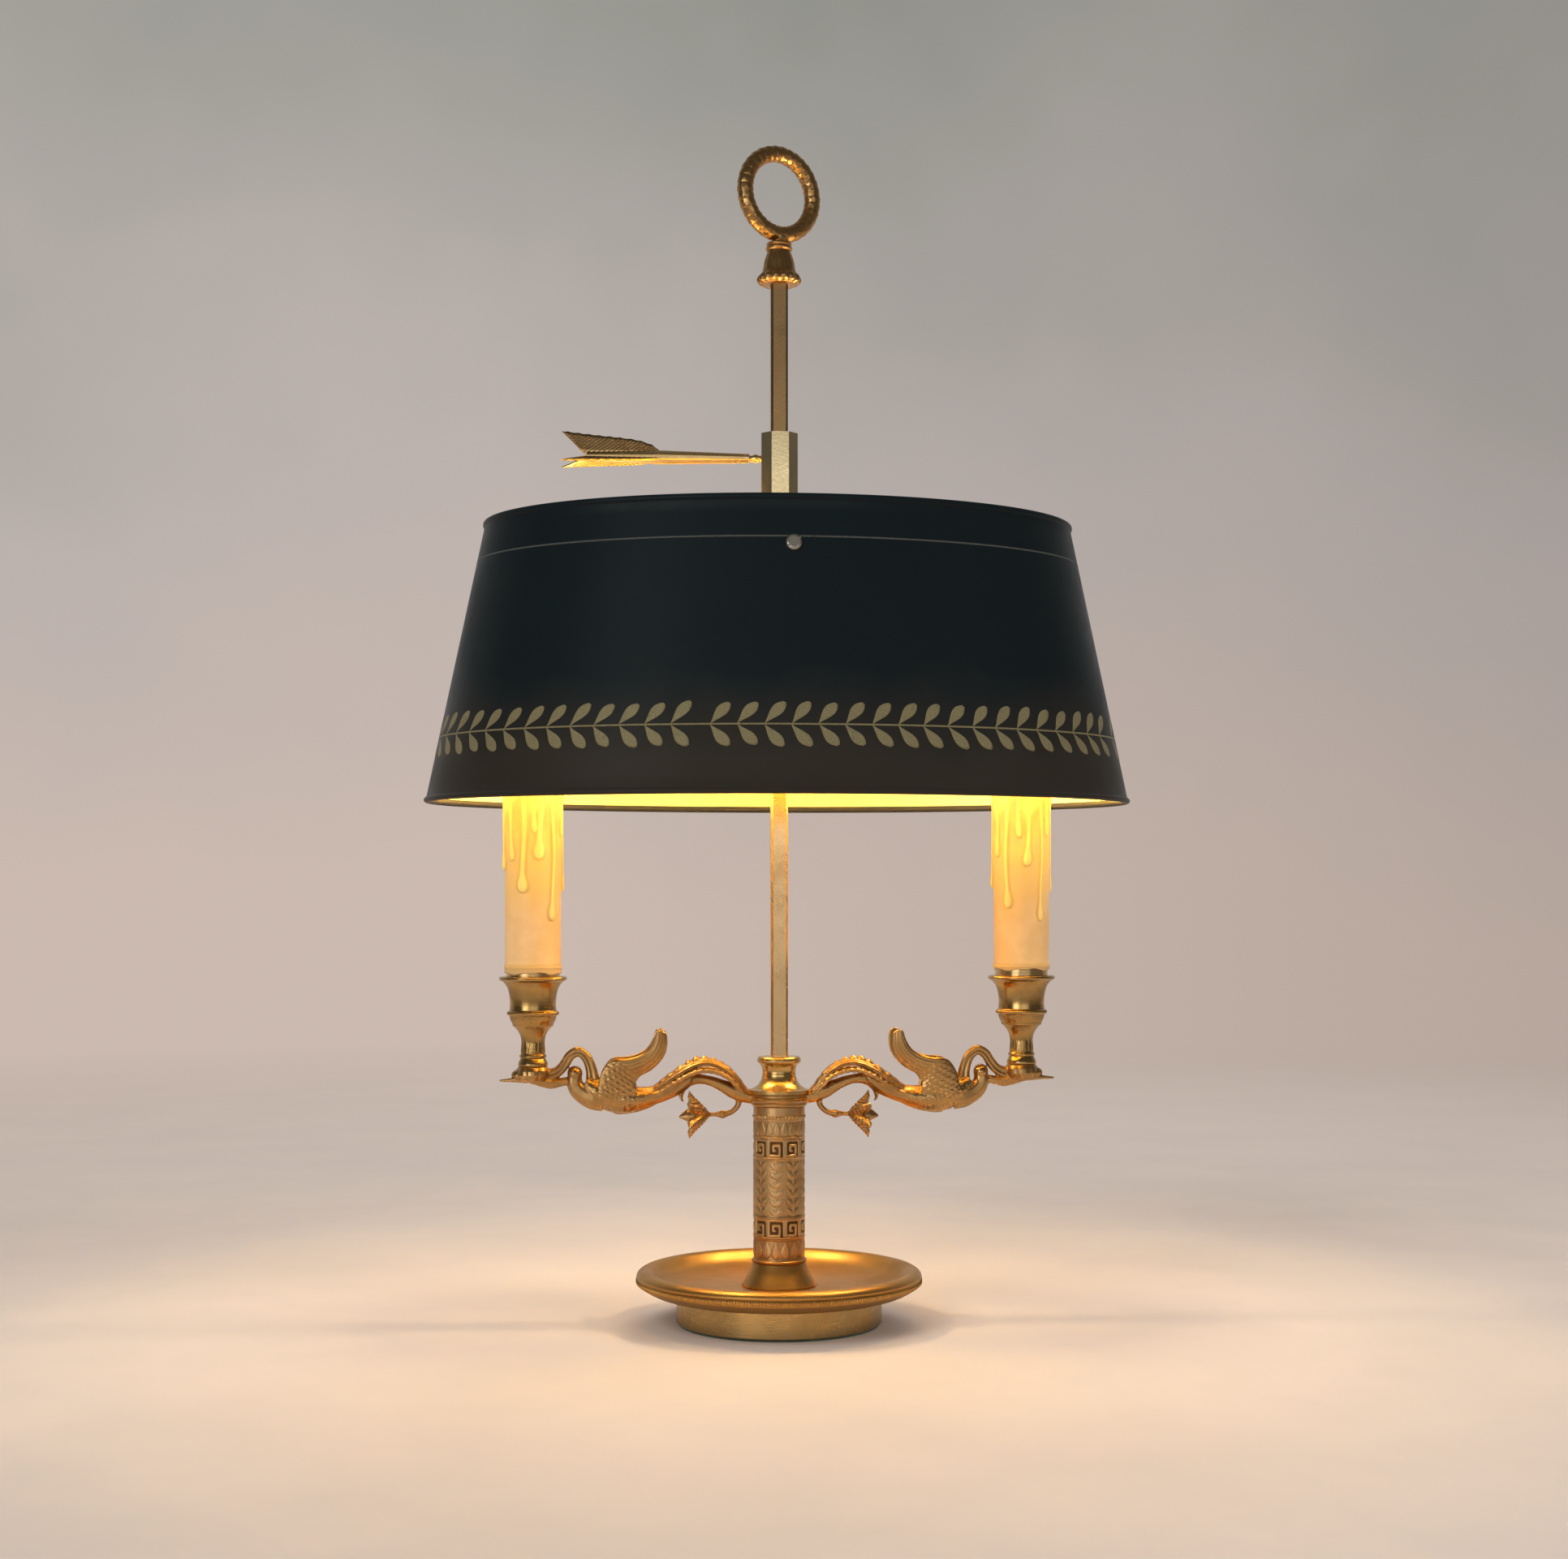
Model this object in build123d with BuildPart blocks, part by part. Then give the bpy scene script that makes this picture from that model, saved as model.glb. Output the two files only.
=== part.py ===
from build123d import *
from math import cos, pi, radians, sin
import os

# A bouillotte lamp: a dished brass foot and engraved column, two swan arms that carry candle
# sockets, and an oval painted shade that slides on a square bar and is clamped by an arrow key.
# Millimetres, +Z up, arms along X, origin at the centre of the foot on the table.

# Driving dimensions

fit = 0.05                  # radial clearance of turned and sliding fits
play = 0.3                  # clearance round pieces that only pass by

felt_radius = 50.4
felt_thickness = 1.2

foot_radius = 51.6
foot_wall = 3.0
foot_height = 13.0          # felt to the underside of the dish
foot_flange = 2.0           # thickness of the ledge that the base plate pulls on
foot_flange_width = 6.0

plate_thickness = 2.0
washer_radius = 9.0
washer_thickness = 1.2
nut_across = 10.0
nut_height = 4.6
stud_radius = 3.0           # threaded tie rod through foot, column and cap
stud_below_nut = 0.8
stud_into_bar = 18.0

dish_radius = 71.9          # over the milled edge
dish_crest_radius = 66.6
dish_height = 13.2          # underside to crest
dish_floor = 4.8            # floor above the underside
dish_well_radius = 49.0
dish_edge_low = 5.9         # milled edge above the underside, lower and upper
dish_edge_high = 9.2
dish_edge_relief = 0.5      # the milled edge stands proud of the skins below and above it
dish_seat_lap = 0.6         # flat of the dish beyond the foot ring
dish_belly = 1.6            # sag of the underside, 10.5 out from the foot ring
dish_shoulder = 1.5         # drop of the lip where it turns in
wire_way_radius = 8.6       # open core of dish, column foot, column and hub

column_radius = 12.9
column_height = 76.5
column_foot_radius = 18.6
column_foot_height = 13.6
column_foot_lip = 1.2
column_bead = 0.8
column_bead_height = 2.6
frieze_height = 9.0
frieze_recess = 0.45
lower_frieze_z = 12.0       # above the bottom of the column tube
upper_frieze_z = 51.8
fillet_band = 0.9
fillet_proud = 0.35

hub_radius = 13.6
hub_height = 6.4

cap_flange_radius = 15.3
cap_flange_height = 1.8
cap_neck_radius = 8.5
cap_top_radius = 10.6
cap_height = 18.4
cap_neck_height = 9.6
cap_lip_height = 3.0
cap_web = 6.0

bar_across = 8.5
bar_chamfer = 1.1
bar_length = 387.5
bar_spigot_radius = 3.0
bar_spigot_length = 12.0

finial_flange_radius = 11.3
finial_flange_height = 8.0
finial_bell_radius = 7.9
finial_neck_radius = 6.0
finial_height = 21.4
finial_lobes = 14
ring_radius = 20.0
ring_section = 4.2
ring_turn = 29.0            # degrees the ring is turned from the line of the arms
ring_foot_radius = 3.4
ring_foot_length = 6.0

sleeve_radius = 14.0
sleeve_wall = 1.2
sleeve_height = 94.0
seat_ring_inset = 0.7       # brass ring under the candle sleeve, inside its outline
seat_ring_height = 6.0

cup_reach = 123.0           # lamp axis to candle axis
cup_rise = 17.4             # seat of the cup above the middle of the hub
cup_height = 44.6
cup_foot_radius = 7.0
cup_foot_height = 2.4
cup_waist_radius = 5.6
cup_waist_z = 12.3          # levels of the cup above its foot
cup_belly_radius = 7.7
cup_belly_z = 17.7
cup_shoulder_radius = 10.3
cup_shoulder_z = 21.3
cup_bead_radius = 11.7
cup_bead_z = 26.5
cup_bead_proud = 1.05
cup_bead_half_height = 1.3
cup_throat_radius = 11.5
cup_throat_z = 31.5
cup_flare_radius = 13.0
cup_flare_z = 39.6
cup_rim_overhang = 1.8      # rim beyond the candle sleeve
cup_rim_roll = 0.5
cup_rim_height = 2.2
cup_recess_depth = 1.0
nipple_radius = 4.5
nipple_bore = 3.0
nipple_into_head = 5.0
nipple_above_seat = 6.0     # into the hub of the lamp holder

wire_channel_radius = 1.4   # way for the lead inside the arm

arm_root_radius = 2.9       # peg of the arm, brazed into the hub
arm_socket_depth = 3.0
flower_share = 0.2          # base of the hanging flower, as a place on the arm
flower_rise = -7.9
petal_length = 13.0
petal_radius = 2.5
calyx_radius = 2.2
bill_reach = 17.8           # bill tip beyond the candle axis

holder_hub_radius = 7.6
holder_hub_height = 13.0
holder_post_radius = 5.6
holder_post_lap = 3.0       # the post runs this far into the hub and the socket block
holder_play = 0.5           # socket block inside the candle sleeve
holder_socket_height = 38.0
holder_wire_way = 1.8

bulb_cap_radius = 6.9
bulb_cap_height = 25.0
bulb_contact_radius = 2.4
bulb_contact_height = 4.4
bulb_play = 0.7             # radial clearance of the bulb's cap in the lamp holder
bulb_proud = 0.5            # the cap stands this far out of the lamp holder
bulb_radius = 17.5
bulb_height = 74.0
bulb_wall = 0.9
bulb_belly_z = 25.0         # widest place above the bulb's cap
bulb_tip_radius = 1.6

shade_bottom_z = 262.0
shade_height = 136.5
shade_bottom_x = 175.8      # half axes of the tin, outside, without the rolled edges
shade_bottom_y = 113.8
shade_top_x = 146.6
shade_top_y = 95.2
shade_wall = 0.8
shade_bead = 1.5            # radius of the rolled edges
screw_below_top = 21.9
screw_head_radius = 3.9
screw_head_height = 2.0
screw_slot = 0.9
screw_slot_depth = 0.8
screw_slot_turn = 35
screw_shank_radius = 1.7
screw_length = 7.0
spider_angles = (270.0, 30.0, 150.0)
spider_below_screw = 6.4    # foot of the collar and spider below the screws
spider_bar_width = 9.0
spider_bar_thickness = 2.4
spider_hub_wall = 5.9       # round hub beyond the flats of the collar
spider_hub_height = 5.0
spider_tab_thickness = 2.0
spider_tab_above_screw = 4.5
tab_gap = 0.25              # the flat tabs stand off the curved tin by this at the middle

collar_wall = 4.8           # beyond the flats of the bar, with its clearance
collar_chamfer = 4.8
collar_length = 76.0

key_below_top = 12.2        # screw axis below the top of the collar
key_thread_radius = 2.0
key_neck_radius = 1.6
key_neck_length = 5.4
key_ball_radius = 2.2
key_shaft_length = 44.0
key_shaft_sides = 8
key_shaft_thin = 2.3
key_shaft_thick = 3.4
key_vane_length = 50.0
key_vane_height = 12.8
key_vane_thickness = 1.6
key_vane_root = 1.6         # height of a vane where it rises from the shaft
key_nock = 0.76             # share of the vane's length where its rear edge meets the shaft
pad_thickness = 1.4

bush_radius = 5.0
bush_bore = 3.4
bush_flange = 1.4

# Levels that follow from the sizes above

foot_z = felt_thickness
dish_z = foot_z + foot_height
floor_z = dish_z + dish_floor
column_z = floor_z + column_foot_height
hub_z = column_z + column_height
hub_mid_z = hub_z + hub_height / 2
cap_z = hub_z + hub_height
bar_z = cap_z + cap_height
bar_top_z = bar_z + bar_length
ring_mid_z = bar_top_z + finial_height + ring_radius + ring_section
plate_z = dish_z - foot_flange - plate_thickness
washer_z = plate_z - washer_thickness
nut_z = washer_z - nut_height
cup_z = hub_mid_z + cup_rise
cup_top_z = cup_z + cup_height
cup_seat_z = cup_top_z - cup_recess_depth
cup_rim_radius = sleeve_radius + cup_rim_overhang
seat_ring_radius = sleeve_radius - seat_ring_inset
cup_recess_radius = seat_ring_radius + 2 * fit
sleeve_z = cup_seat_z + seat_ring_height
socket_top_z = sleeve_z + sleeve_height - play
holder_socket_radius = sleeve_radius - sleeve_wall - holder_play
holder_bore_radius = bulb_cap_radius + bulb_play
holder_bore_depth = bulb_cap_height - bulb_proud
bulb_z = socket_top_z + bulb_proud
shade_top_z = shade_bottom_z + shade_height
screw_z = shade_top_z - screw_below_top
collar_z = screw_z - spider_below_screw
collar_top_z = collar_z + collar_length
key_z = collar_top_z - key_below_top
flat_bar = bar_across / 2
flat_collar = flat_bar + fit + collar_wall
collar_across = 2 * flat_collar
spider_hub_radius = flat_collar + spider_hub_wall
wall_slope = (shade_bottom_y - shade_top_y) / shade_height

parts_made = []


def keep(piece, label):
    """Label a finished piece and write its STEP file."""
    piece.part.label = label
    export_step(piece.part, f"parts/{label}.step")
    parts_made.append(piece.part)


def ring_profile(inner, outer, low, high):
    """A rectangle in the XZ half plane between two radii and two levels."""
    with Locations(((inner + outer) / 2, (low + high) / 2)):
        Rectangle(outer - inner, high - low)


os.makedirs("parts", exist_ok=True)

# Foot: felt, ring, dish, and the plate, washer and nut that pull them together

with BuildPart() as felt_pad:
    with BuildSketch():
        Circle(felt_radius)
        Circle(felt_radius - foot_wall - foot_flange_width, mode=Mode.SUBTRACT)
    extrude(amount=felt_thickness)
keep(felt_pad, "felt_pad")

bush_z = foot_z + bush_radius + 0.2

with BuildPart() as foot_ring:
    with BuildSketch(Plane.XZ):
        ring_profile(foot_radius - foot_wall, foot_radius, foot_z, dish_z)
        ring_profile(foot_radius - foot_wall - foot_flange_width, foot_radius, dish_z - foot_flange, dish_z)
    revolve(axis=Axis.Z)
    outer_edges = foot_ring.edges().filter_by(GeomType.CIRCLE).group_by(SortBy.RADIUS)[-1]
    chamfer(outer_edges, 0.4)
    with BuildSketch(Plane.XZ.offset(-foot_radius - 1)):
        with Locations((0, bush_z)):
            Circle(bush_radius - bush_flange)
    extrude(amount=foot_wall + 4, mode=Mode.SUBTRACT)
keep(foot_ring, "foot_ring")

with BuildPart() as drip_pan:
    with BuildSketch(Plane.XZ):
        with BuildLine():
            inner_foot = (wire_way_radius, dish_z)
            outer_foot = (foot_radius + dish_seat_lap, dish_z)
            edge_low = (dish_radius - dish_edge_relief, dish_z + dish_edge_low)
            edge_high = (dish_radius - dish_edge_relief, dish_z + dish_edge_high)
            crest = (dish_crest_radius, dish_z + dish_height)
            well = (dish_well_radius, floor_z + 0.4)
            ThreePointArc(outer_foot, (foot_radius + 10.5, dish_z + dish_belly), edge_low)
            Polyline(
                edge_low,
                (dish_radius, dish_z + dish_edge_low + dish_edge_relief),
                (dish_radius, dish_z + dish_edge_high - dish_edge_relief),
                edge_high,
            )
            ThreePointArc(edge_high, (dish_radius - 1.9, dish_z + dish_height - dish_shoulder), crest)
            Spline(
                crest,
                (dish_crest_radius - 2.4, dish_z + dish_height - 1.9),
                (dish_crest_radius - 9.0, dish_z + dish_floor + 2.8),
                well,
                tangents=((-1, -0.25), (-1, -0.02)),
            )
            Polyline(
                well,
                (column_foot_radius + 1.0, floor_z),
                (wire_way_radius, floor_z),
                inner_foot,
                outer_foot,
            )
        make_face()
    revolve(axis=Axis.Z)
keep(drip_pan, "drip_pan")

with BuildPart() as base_plate:
    with BuildSketch(Plane.XY.offset(plate_z)):
        Circle(foot_radius - foot_wall - fit)
        Circle(stud_radius + fit, mode=Mode.SUBTRACT)
        with Locations((0, 13)):
            SlotOverall(8, 5, mode=Mode.SUBTRACT)
    extrude(amount=plate_thickness)
keep(base_plate, "base_plate")

with BuildPart() as base_washer:
    with BuildSketch(Plane.XY.offset(washer_z)):
        Circle(washer_radius)
        Circle(stud_radius + fit, mode=Mode.SUBTRACT)
    extrude(amount=washer_thickness)
keep(base_washer, "base_washer")

with BuildPart() as base_nut:
    with BuildSketch(Plane.XY.offset(nut_z)):
        RegularPolygon(nut_across / 2, 6, major_radius=False)
        Circle(stud_radius + fit, mode=Mode.SUBTRACT)
    extrude(amount=nut_height)
keep(base_nut, "base_nut")

with BuildPart() as tie_rod:
    with BuildSketch(Plane.XY.offset(nut_z - stud_below_nut)):
        Circle(stud_radius)
    extrude(amount=bar_z + stud_into_bar - nut_z + stud_below_nut)
    chamfer(tie_rod.edges().filter_by(GeomType.CIRCLE), 0.5)
keep(tie_rod, "tie_rod")

bush_inner = foot_wall + 2.0

with BuildPart() as cable_bush:
    with BuildSketch(Plane.YZ):
        with BuildLine():
            Polyline(
                (foot_radius - bush_inner, bush_z + bush_bore - 1.0),
                (foot_radius + bush_flange, bush_z + bush_bore - 1.0),
                (foot_radius + bush_flange, bush_z + bush_radius - 0.6),
                (foot_radius + 0.3, bush_z + bush_radius),
                (foot_radius + 0.3, bush_z + bush_radius - bush_flange - fit),
                (foot_radius - bush_inner, bush_z + bush_radius - bush_flange - fit),
                close=True,
            )
        make_face()
    revolve(axis=Axis((0, 0, bush_z), (0, 1, 0)))
keep(cable_bush, "cable_bush")

# Column

with BuildPart() as column_foot:
    with BuildSketch(Plane.XZ):
        with BuildLine():
            low = (column_foot_radius, floor_z)
            lip = (column_foot_radius, floor_z + column_foot_lip)
            throat = (column_radius, column_z - column_bead_height)
            bead = (column_radius + column_bead, column_z - column_bead_height / 2)
            Line(low, lip)
            Spline(lip, (column_radius + 2.1, floor_z + 4.6), throat, tangents=((-0.6, 0.35), (0, 1)))
            ThreePointArc(throat, bead, (column_radius, column_z))
            Polyline(
                (column_radius, column_z),
                (wire_way_radius, column_z),
                (wire_way_radius, floor_z),
                low,
            )
        make_face()
    revolve(axis=Axis.Z)
keep(column_foot, "column_foot")

with BuildPart() as column:
    with BuildSketch(Plane.XZ):
        ring_profile(wire_way_radius, column_radius, column_z, hub_z)
    revolve(axis=Axis.Z)
    for band_z in (column_z + lower_frieze_z, column_z + upper_frieze_z):
        with BuildSketch(Plane.XZ):
            ring_profile(column_radius - frieze_recess, column_radius + 1, band_z, band_z + frieze_height)
        revolve(axis=Axis.Z, mode=Mode.SUBTRACT)
        for edge_z in (band_z - fillet_band, band_z + frieze_height):
            with BuildSketch(Plane.XZ):
                ring_profile(column_radius - 1, column_radius + fillet_proud, edge_z, edge_z + fillet_band)
            revolve(axis=Axis.Z)
keep(column, "column")

# Hub ring that the two arms are brazed into

with BuildPart() as arm_hub:
    with BuildSketch(Plane.XZ):
        with BuildLine():
            ThreePointArc((hub_radius, hub_z), (hub_radius + 0.7, hub_mid_z), (hub_radius, cap_z))
            Polyline(
                (hub_radius, cap_z),
                (wire_way_radius, cap_z),
                (wire_way_radius, hub_z),
                (hub_radius, hub_z),
            )
        make_face()
    revolve(axis=Axis.Z)
    with BuildSketch(Plane.YZ.offset(-hub_radius - 2)):
        with Locations((0, hub_mid_z)):
            Circle(arm_root_radius + fit)
    extrude(amount=2 * hub_radius + 4, mode=Mode.SUBTRACT)
keep(arm_hub, "arm_hub")

with BuildPart() as column_cap:
    with BuildSketch(Plane.XZ):
        with BuildLine():
            Polyline(
                (stud_radius + fit, bar_z - cap_web),
                (wire_way_radius - 2.6, bar_z - cap_web),
                (wire_way_radius, cap_z),
                (cap_flange_radius, cap_z),
                (cap_flange_radius, cap_z + cap_flange_height),
            )
            ThreePointArc(
                (cap_flange_radius, cap_z + cap_flange_height),
                (cap_neck_radius + 1.9, cap_z + 4.6),
                (cap_neck_radius, cap_z + cap_neck_height),
            )
            ThreePointArc(
                (cap_neck_radius, cap_z + cap_neck_height),
                (cap_neck_radius + 0.4, bar_z - cap_lip_height - 2.0),
                (cap_top_radius, bar_z - cap_lip_height),
            )
            ThreePointArc(
                (cap_top_radius, bar_z - cap_lip_height),
                (cap_top_radius + 0.4, bar_z - cap_lip_height / 2),
                (cap_top_radius - 0.6, bar_z),
            )
            Polyline(
                (cap_top_radius - 0.6, bar_z),
                (stud_radius + fit, bar_z),
                (stud_radius + fit, bar_z - cap_web),
            )
        make_face()
    revolve(axis=Axis.Z)
keep(column_cap, "column_cap")

# Square bar, finial and ring handle

with BuildPart() as square_bar:
    with BuildSketch(Plane.XY.offset(bar_z)) as bar_section:
        Rectangle(bar_across, bar_across)
        chamfer(bar_section.vertices(), bar_chamfer)
    extrude(amount=bar_length)
    with BuildSketch(Plane.XY.offset(bar_z)):
        Circle(stud_radius + fit)
    extrude(amount=stud_into_bar + 1, mode=Mode.SUBTRACT)
    with BuildSketch(Plane.XY.offset(bar_top_z)):
        Circle(bar_spigot_radius)
    extrude(amount=bar_spigot_length)
keep(square_bar, "square_bar")

finial_top_z = bar_top_z + finial_height

with BuildPart() as finial:
    with BuildSketch(Plane.XZ):
        with BuildLine():
            Polyline((0, bar_top_z), (finial_flange_radius - 2.4, bar_top_z))
            Spline(
                (finial_flange_radius - 2.4, bar_top_z),
                (finial_flange_radius - 0.4, bar_top_z + 2.6),
                (finial_bell_radius, bar_top_z + finial_flange_height),
                tangents=((1, 0.2), (-0.5, 1)),
            )
            Spline(
                (finial_bell_radius, bar_top_z + finial_flange_height),
                (finial_neck_radius + 0.5, bar_top_z + 15.0),
                (finial_neck_radius, finial_top_z - 2.4),
                tangents=((-0.1, 1), (0, 1)),
            )
            ThreePointArc(
                (finial_neck_radius, finial_top_z - 2.4),
                (finial_neck_radius + 1.0, finial_top_z - 1.2),
                (finial_neck_radius, finial_top_z),
            )
            Polyline((finial_neck_radius, finial_top_z), (0, finial_top_z), (0, bar_top_z))
        make_face()
    revolve(axis=Axis.Z)
    lobe_radius = finial_flange_radius * pi / finial_lobes * 0.86
    with Locations((0, 0, bar_top_z + 2.6)):
        with PolarLocations(finial_flange_radius - lobe_radius, finial_lobes):
            Sphere(lobe_radius)
    with BuildSketch(Plane.XY.offset(bar_top_z - 5)):
        Circle(finial_flange_radius + 4)
    extrude(amount=5, mode=Mode.SUBTRACT)
    with BuildSketch(Plane.XY.offset(bar_top_z)):
        Circle(bar_spigot_radius + fit)
    extrude(amount=bar_spigot_length + 0.5, mode=Mode.SUBTRACT)
    with BuildSketch(Plane.XY.offset(finial_top_z)):
        Circle(ring_foot_radius + fit)
    extrude(amount=-ring_foot_length - 0.5, mode=Mode.SUBTRACT)
keep(finial, "finial")

with BuildPart() as ring_handle:
    ring_plane = Plane(
        origin=(0, 0, ring_mid_z),
        x_dir=(cos(radians(ring_turn)), sin(radians(ring_turn)), 0),
        z_dir=(sin(radians(ring_turn)), -cos(radians(ring_turn)), 0),
    )
    with BuildSketch(Plane(origin=ring_plane.origin, x_dir=ring_plane.x_dir, z_dir=(0, 0, 1))):
        with Locations((ring_radius, 0)):
            Circle(ring_section)
    revolve(axis=Axis(ring_plane.origin, ring_plane.z_dir))
    with BuildSketch(Plane.XY.offset(finial_top_z - ring_foot_length)):
        Circle(ring_foot_radius)
    extrude(amount=ring_foot_length + ring_section / 2)
keep(ring_handle, "ring_handle")

# Swan arms. A point of the arm is its share of the way from the hub to the candle axis, and its
# height above the middle of the hub.


def arm_point(share, rise):
    """A point of the right arm in the XZ plane."""
    return (hub_radius + (cup_reach - hub_radius) * share, hub_mid_z + rise)


def arm_world(share, rise):
    """The same point in space."""
    x, z = arm_point(share, rise)
    return (x, 0, z)


def arm_tube(points, bends, radius, mode=Mode.ADD):
    """A round bar along straight runs joined by arcs."""
    with BuildLine(Plane.XZ) as route:
        FilletPolyline(*[arm_point(*p) for p in points], radius=bends)
    wire = route.wire()
    with BuildSketch(Plane(origin=wire @ 0, z_dir=wire % 0)) as section:
        Circle(radius)
    sweep(sections=section.sketch, path=wire, mode=mode)


def arm_loft(stations):
    """A body through oval sections: share, rise, direction in degrees, half width, half depth."""
    sections = []
    for share, rise, heading, half_width, half_depth in stations:
        towards = (cos(radians(heading)), 0, sin(radians(heading)))
        with BuildSketch(Plane(origin=arm_world(share, rise), x_dir=(0, 1, 0), z_dir=towards)) as section:
            Ellipse(half_width, half_depth)
        sections.append(section.sketch)
    loft(sections)


wire_route = [
    (-0.03, 0.0), (0.075, 1.0), (0.18, 8.6), (0.275, 13.2), (0.39, 6.6),
    (0.5, 0.2), (0.65, 0.6), (0.76, 7.4), (0.825, 12.6), (0.9, 7.9), (1.0, 9.6), (1.0, cup_rise),
]
wire_bends = [6, 8, 7, 9, 9, 9, 9, 3.5, 5, 3]

with BuildPart() as swan_tail:
    # lower strand, from its peg in the hub to where the leaf joins it
    arm_tube(wire_route[:5], wire_bends[:3], 2.5)
    with BuildSketch(Plane.YZ.offset(hub_radius - arm_socket_depth)):
        with Locations((0, hub_mid_z)):
            Circle(arm_root_radius)
    extrude(amount=arm_socket_depth + 2.2)

with BuildPart() as swan_leaf:
    arm_tube(
        [(0.05, 0.4), (0.072, 8.5), (0.125, 16.0), (0.215, 19.4), (0.33, 14.2)],
        [5, 6, 8],
        2.4,
    )

with BuildPart() as swan_body:
    arm_loft([
        (0.30, 14.2, -28, 3.4, 3.9),
        (0.40, 7.4, -42, 3.8, 4.2),
        (0.50, 1.4, -24, 5.2, 5.0),
        (0.60, 0.6, 4, 7.2, 7.6),
        (0.70, 3.6, 24, 7.2, 8.4),
        (0.775, 8.0, 40, 5.4, 6.4),
        (0.825, 12.4, 52, 2.6, 2.8),
    ])

with BuildPart() as swan_neck:
    arm_tube(
        [(0.71, 6.0), (0.722, 17.0), (0.775, 25.0), (0.85, 22.4), (0.885, 14.4), (0.97, 14.2)],
        [7, 6, 5.5, 5],
        2.9,
    )

with BuildPart() as neck_scroll:
    arm_tube([(0.80, 12.4), (0.825, 12.6), (0.9, 7.9), (0.975, 9.0)], [2.5, 5], 2.8)

with BuildPart() as swan_head:
    for z, half_x, half_y in (
        (hub_mid_z + 8.2, 5.4, 4.2),
        (hub_mid_z + 12.6, 8.0, 6.0),
        (cup_z, cup_foot_radius + 0.2, cup_foot_radius + 0.2),
    ):
        with BuildSketch(Plane.XY.offset(z)):
            with Locations((cup_reach, 0)):
                Ellipse(half_x, half_y)
    loft()

with BuildPart() as swan_bill:
    bill_tip_x = cup_reach + bill_reach
    for x, rise, half_y, half_z in (
        (cup_reach, 10.4, 4.2, 2.6),
        (bill_tip_x, 9.7, 1.7, 0.7),
    ):
        with BuildSketch(Plane(origin=(x, 0, hub_mid_z + rise), x_dir=(0, 1, 0), z_dir=(1, 0, 0))):
            Ellipse(half_y, half_z)
    loft()

with BuildPart() as pendant_stem:
    arm_tube([(0.10, 2.6), (0.085, -3.0), (0.125, flower_rise), (flower_share, flower_rise)], [4, 3], 1.2)
    with Locations(arm_world(0.135, flower_rise + 0.2)):
        Sphere(2.2)

with BuildPart() as pendant_flower:
    flower_base = arm_world(flower_share - 0.01, flower_rise)
    with Locations(flower_base):
        Sphere(calyx_radius)
    for petal_tilt, petal_turn in ((0, 0), (42, 0), (42, 90), (42, 180), (42, 270)):
        aim = Vector(
            cos(radians(petal_tilt)),
            sin(radians(petal_tilt)) * sin(radians(petal_turn)),
            sin(radians(petal_tilt)) * cos(radians(petal_turn)),
        )
        petal_start = Vector(flower_base) + aim * 0.4
        with BuildSketch(Plane(origin=petal_start, x_dir=aim, z_dir=aim.cross(Vector(0.3, 1, 0.2)))):
            with BuildLine():
                Polyline(
                    (0, 0),
                    (0, 1.0),
                    (petal_length * 0.3, petal_radius),
                    (petal_length * 0.6, petal_radius * 0.8),
                    (petal_length, 0.4),
                    (petal_length, 0),
                    close=True,
                )
            make_face()
        revolve(axis=Axis(petal_start, aim))

with BuildPart() as swan_wings:
    for side in (-1, 1):
        lean = radians(9.0 * side)
        wing_plane = Plane(
            origin=(0, side * 4.6, hub_mid_z),
            x_dir=(1, 0, 0),
            z_dir=(0, -cos(lean), -sin(lean)),
        )
        with BuildSketch(wing_plane):
            with BuildLine():
                leading = [
                    (0.56, 2.4), (0.545, 8.6), (0.455, 14.6), (0.385, 22.4), (0.372, 30.6), (0.408, 36.2),
                ]
                trailing = [
                    (0.408, 36.2), (0.432, 29.6), (0.475, 23.4), (0.55, 19.6), (0.645, 19.0), (0.705, 13.0),
                    (0.69, 4.0),
                ]
                for row in (leading, trailing):
                    flat = [arm_point(*p) for p in row]
                    Spline(*[(x, z - hub_mid_z) for x, z in flat])
                root = [arm_point(*trailing[-1]), arm_point(*leading[0])]
                Line(*[(x, z - hub_mid_z) for x, z in root])
            make_face()
        extrude(amount=1.3, both=True)

with BuildPart() as swan_arm_right:
    for piece in (
        swan_tail, swan_leaf, swan_body, swan_neck, neck_scroll, swan_head, swan_bill,
        pendant_stem, pendant_flower, swan_wings,
    ):
        add(piece.part)
    # way for the lead, and the tapped hole for the nipple
    arm_tube(wire_route, wire_bends, wire_channel_radius, mode=Mode.SUBTRACT)
    with BuildSketch(Plane.XY.offset(cup_z)):
        with Locations((cup_reach, 0)):
            Circle(nipple_radius + fit)
    extrude(amount=-nipple_into_head - 0.4, mode=Mode.SUBTRACT)
keep(swan_arm_right, "swan_arm_right")

with BuildPart() as swan_arm_left:
    add(mirror(swan_arm_right.part, about=Plane.YZ, mode=Mode.PRIVATE))
keep(swan_arm_left, "swan_arm_left")

# Candle sockets, alike on both arms

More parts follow.
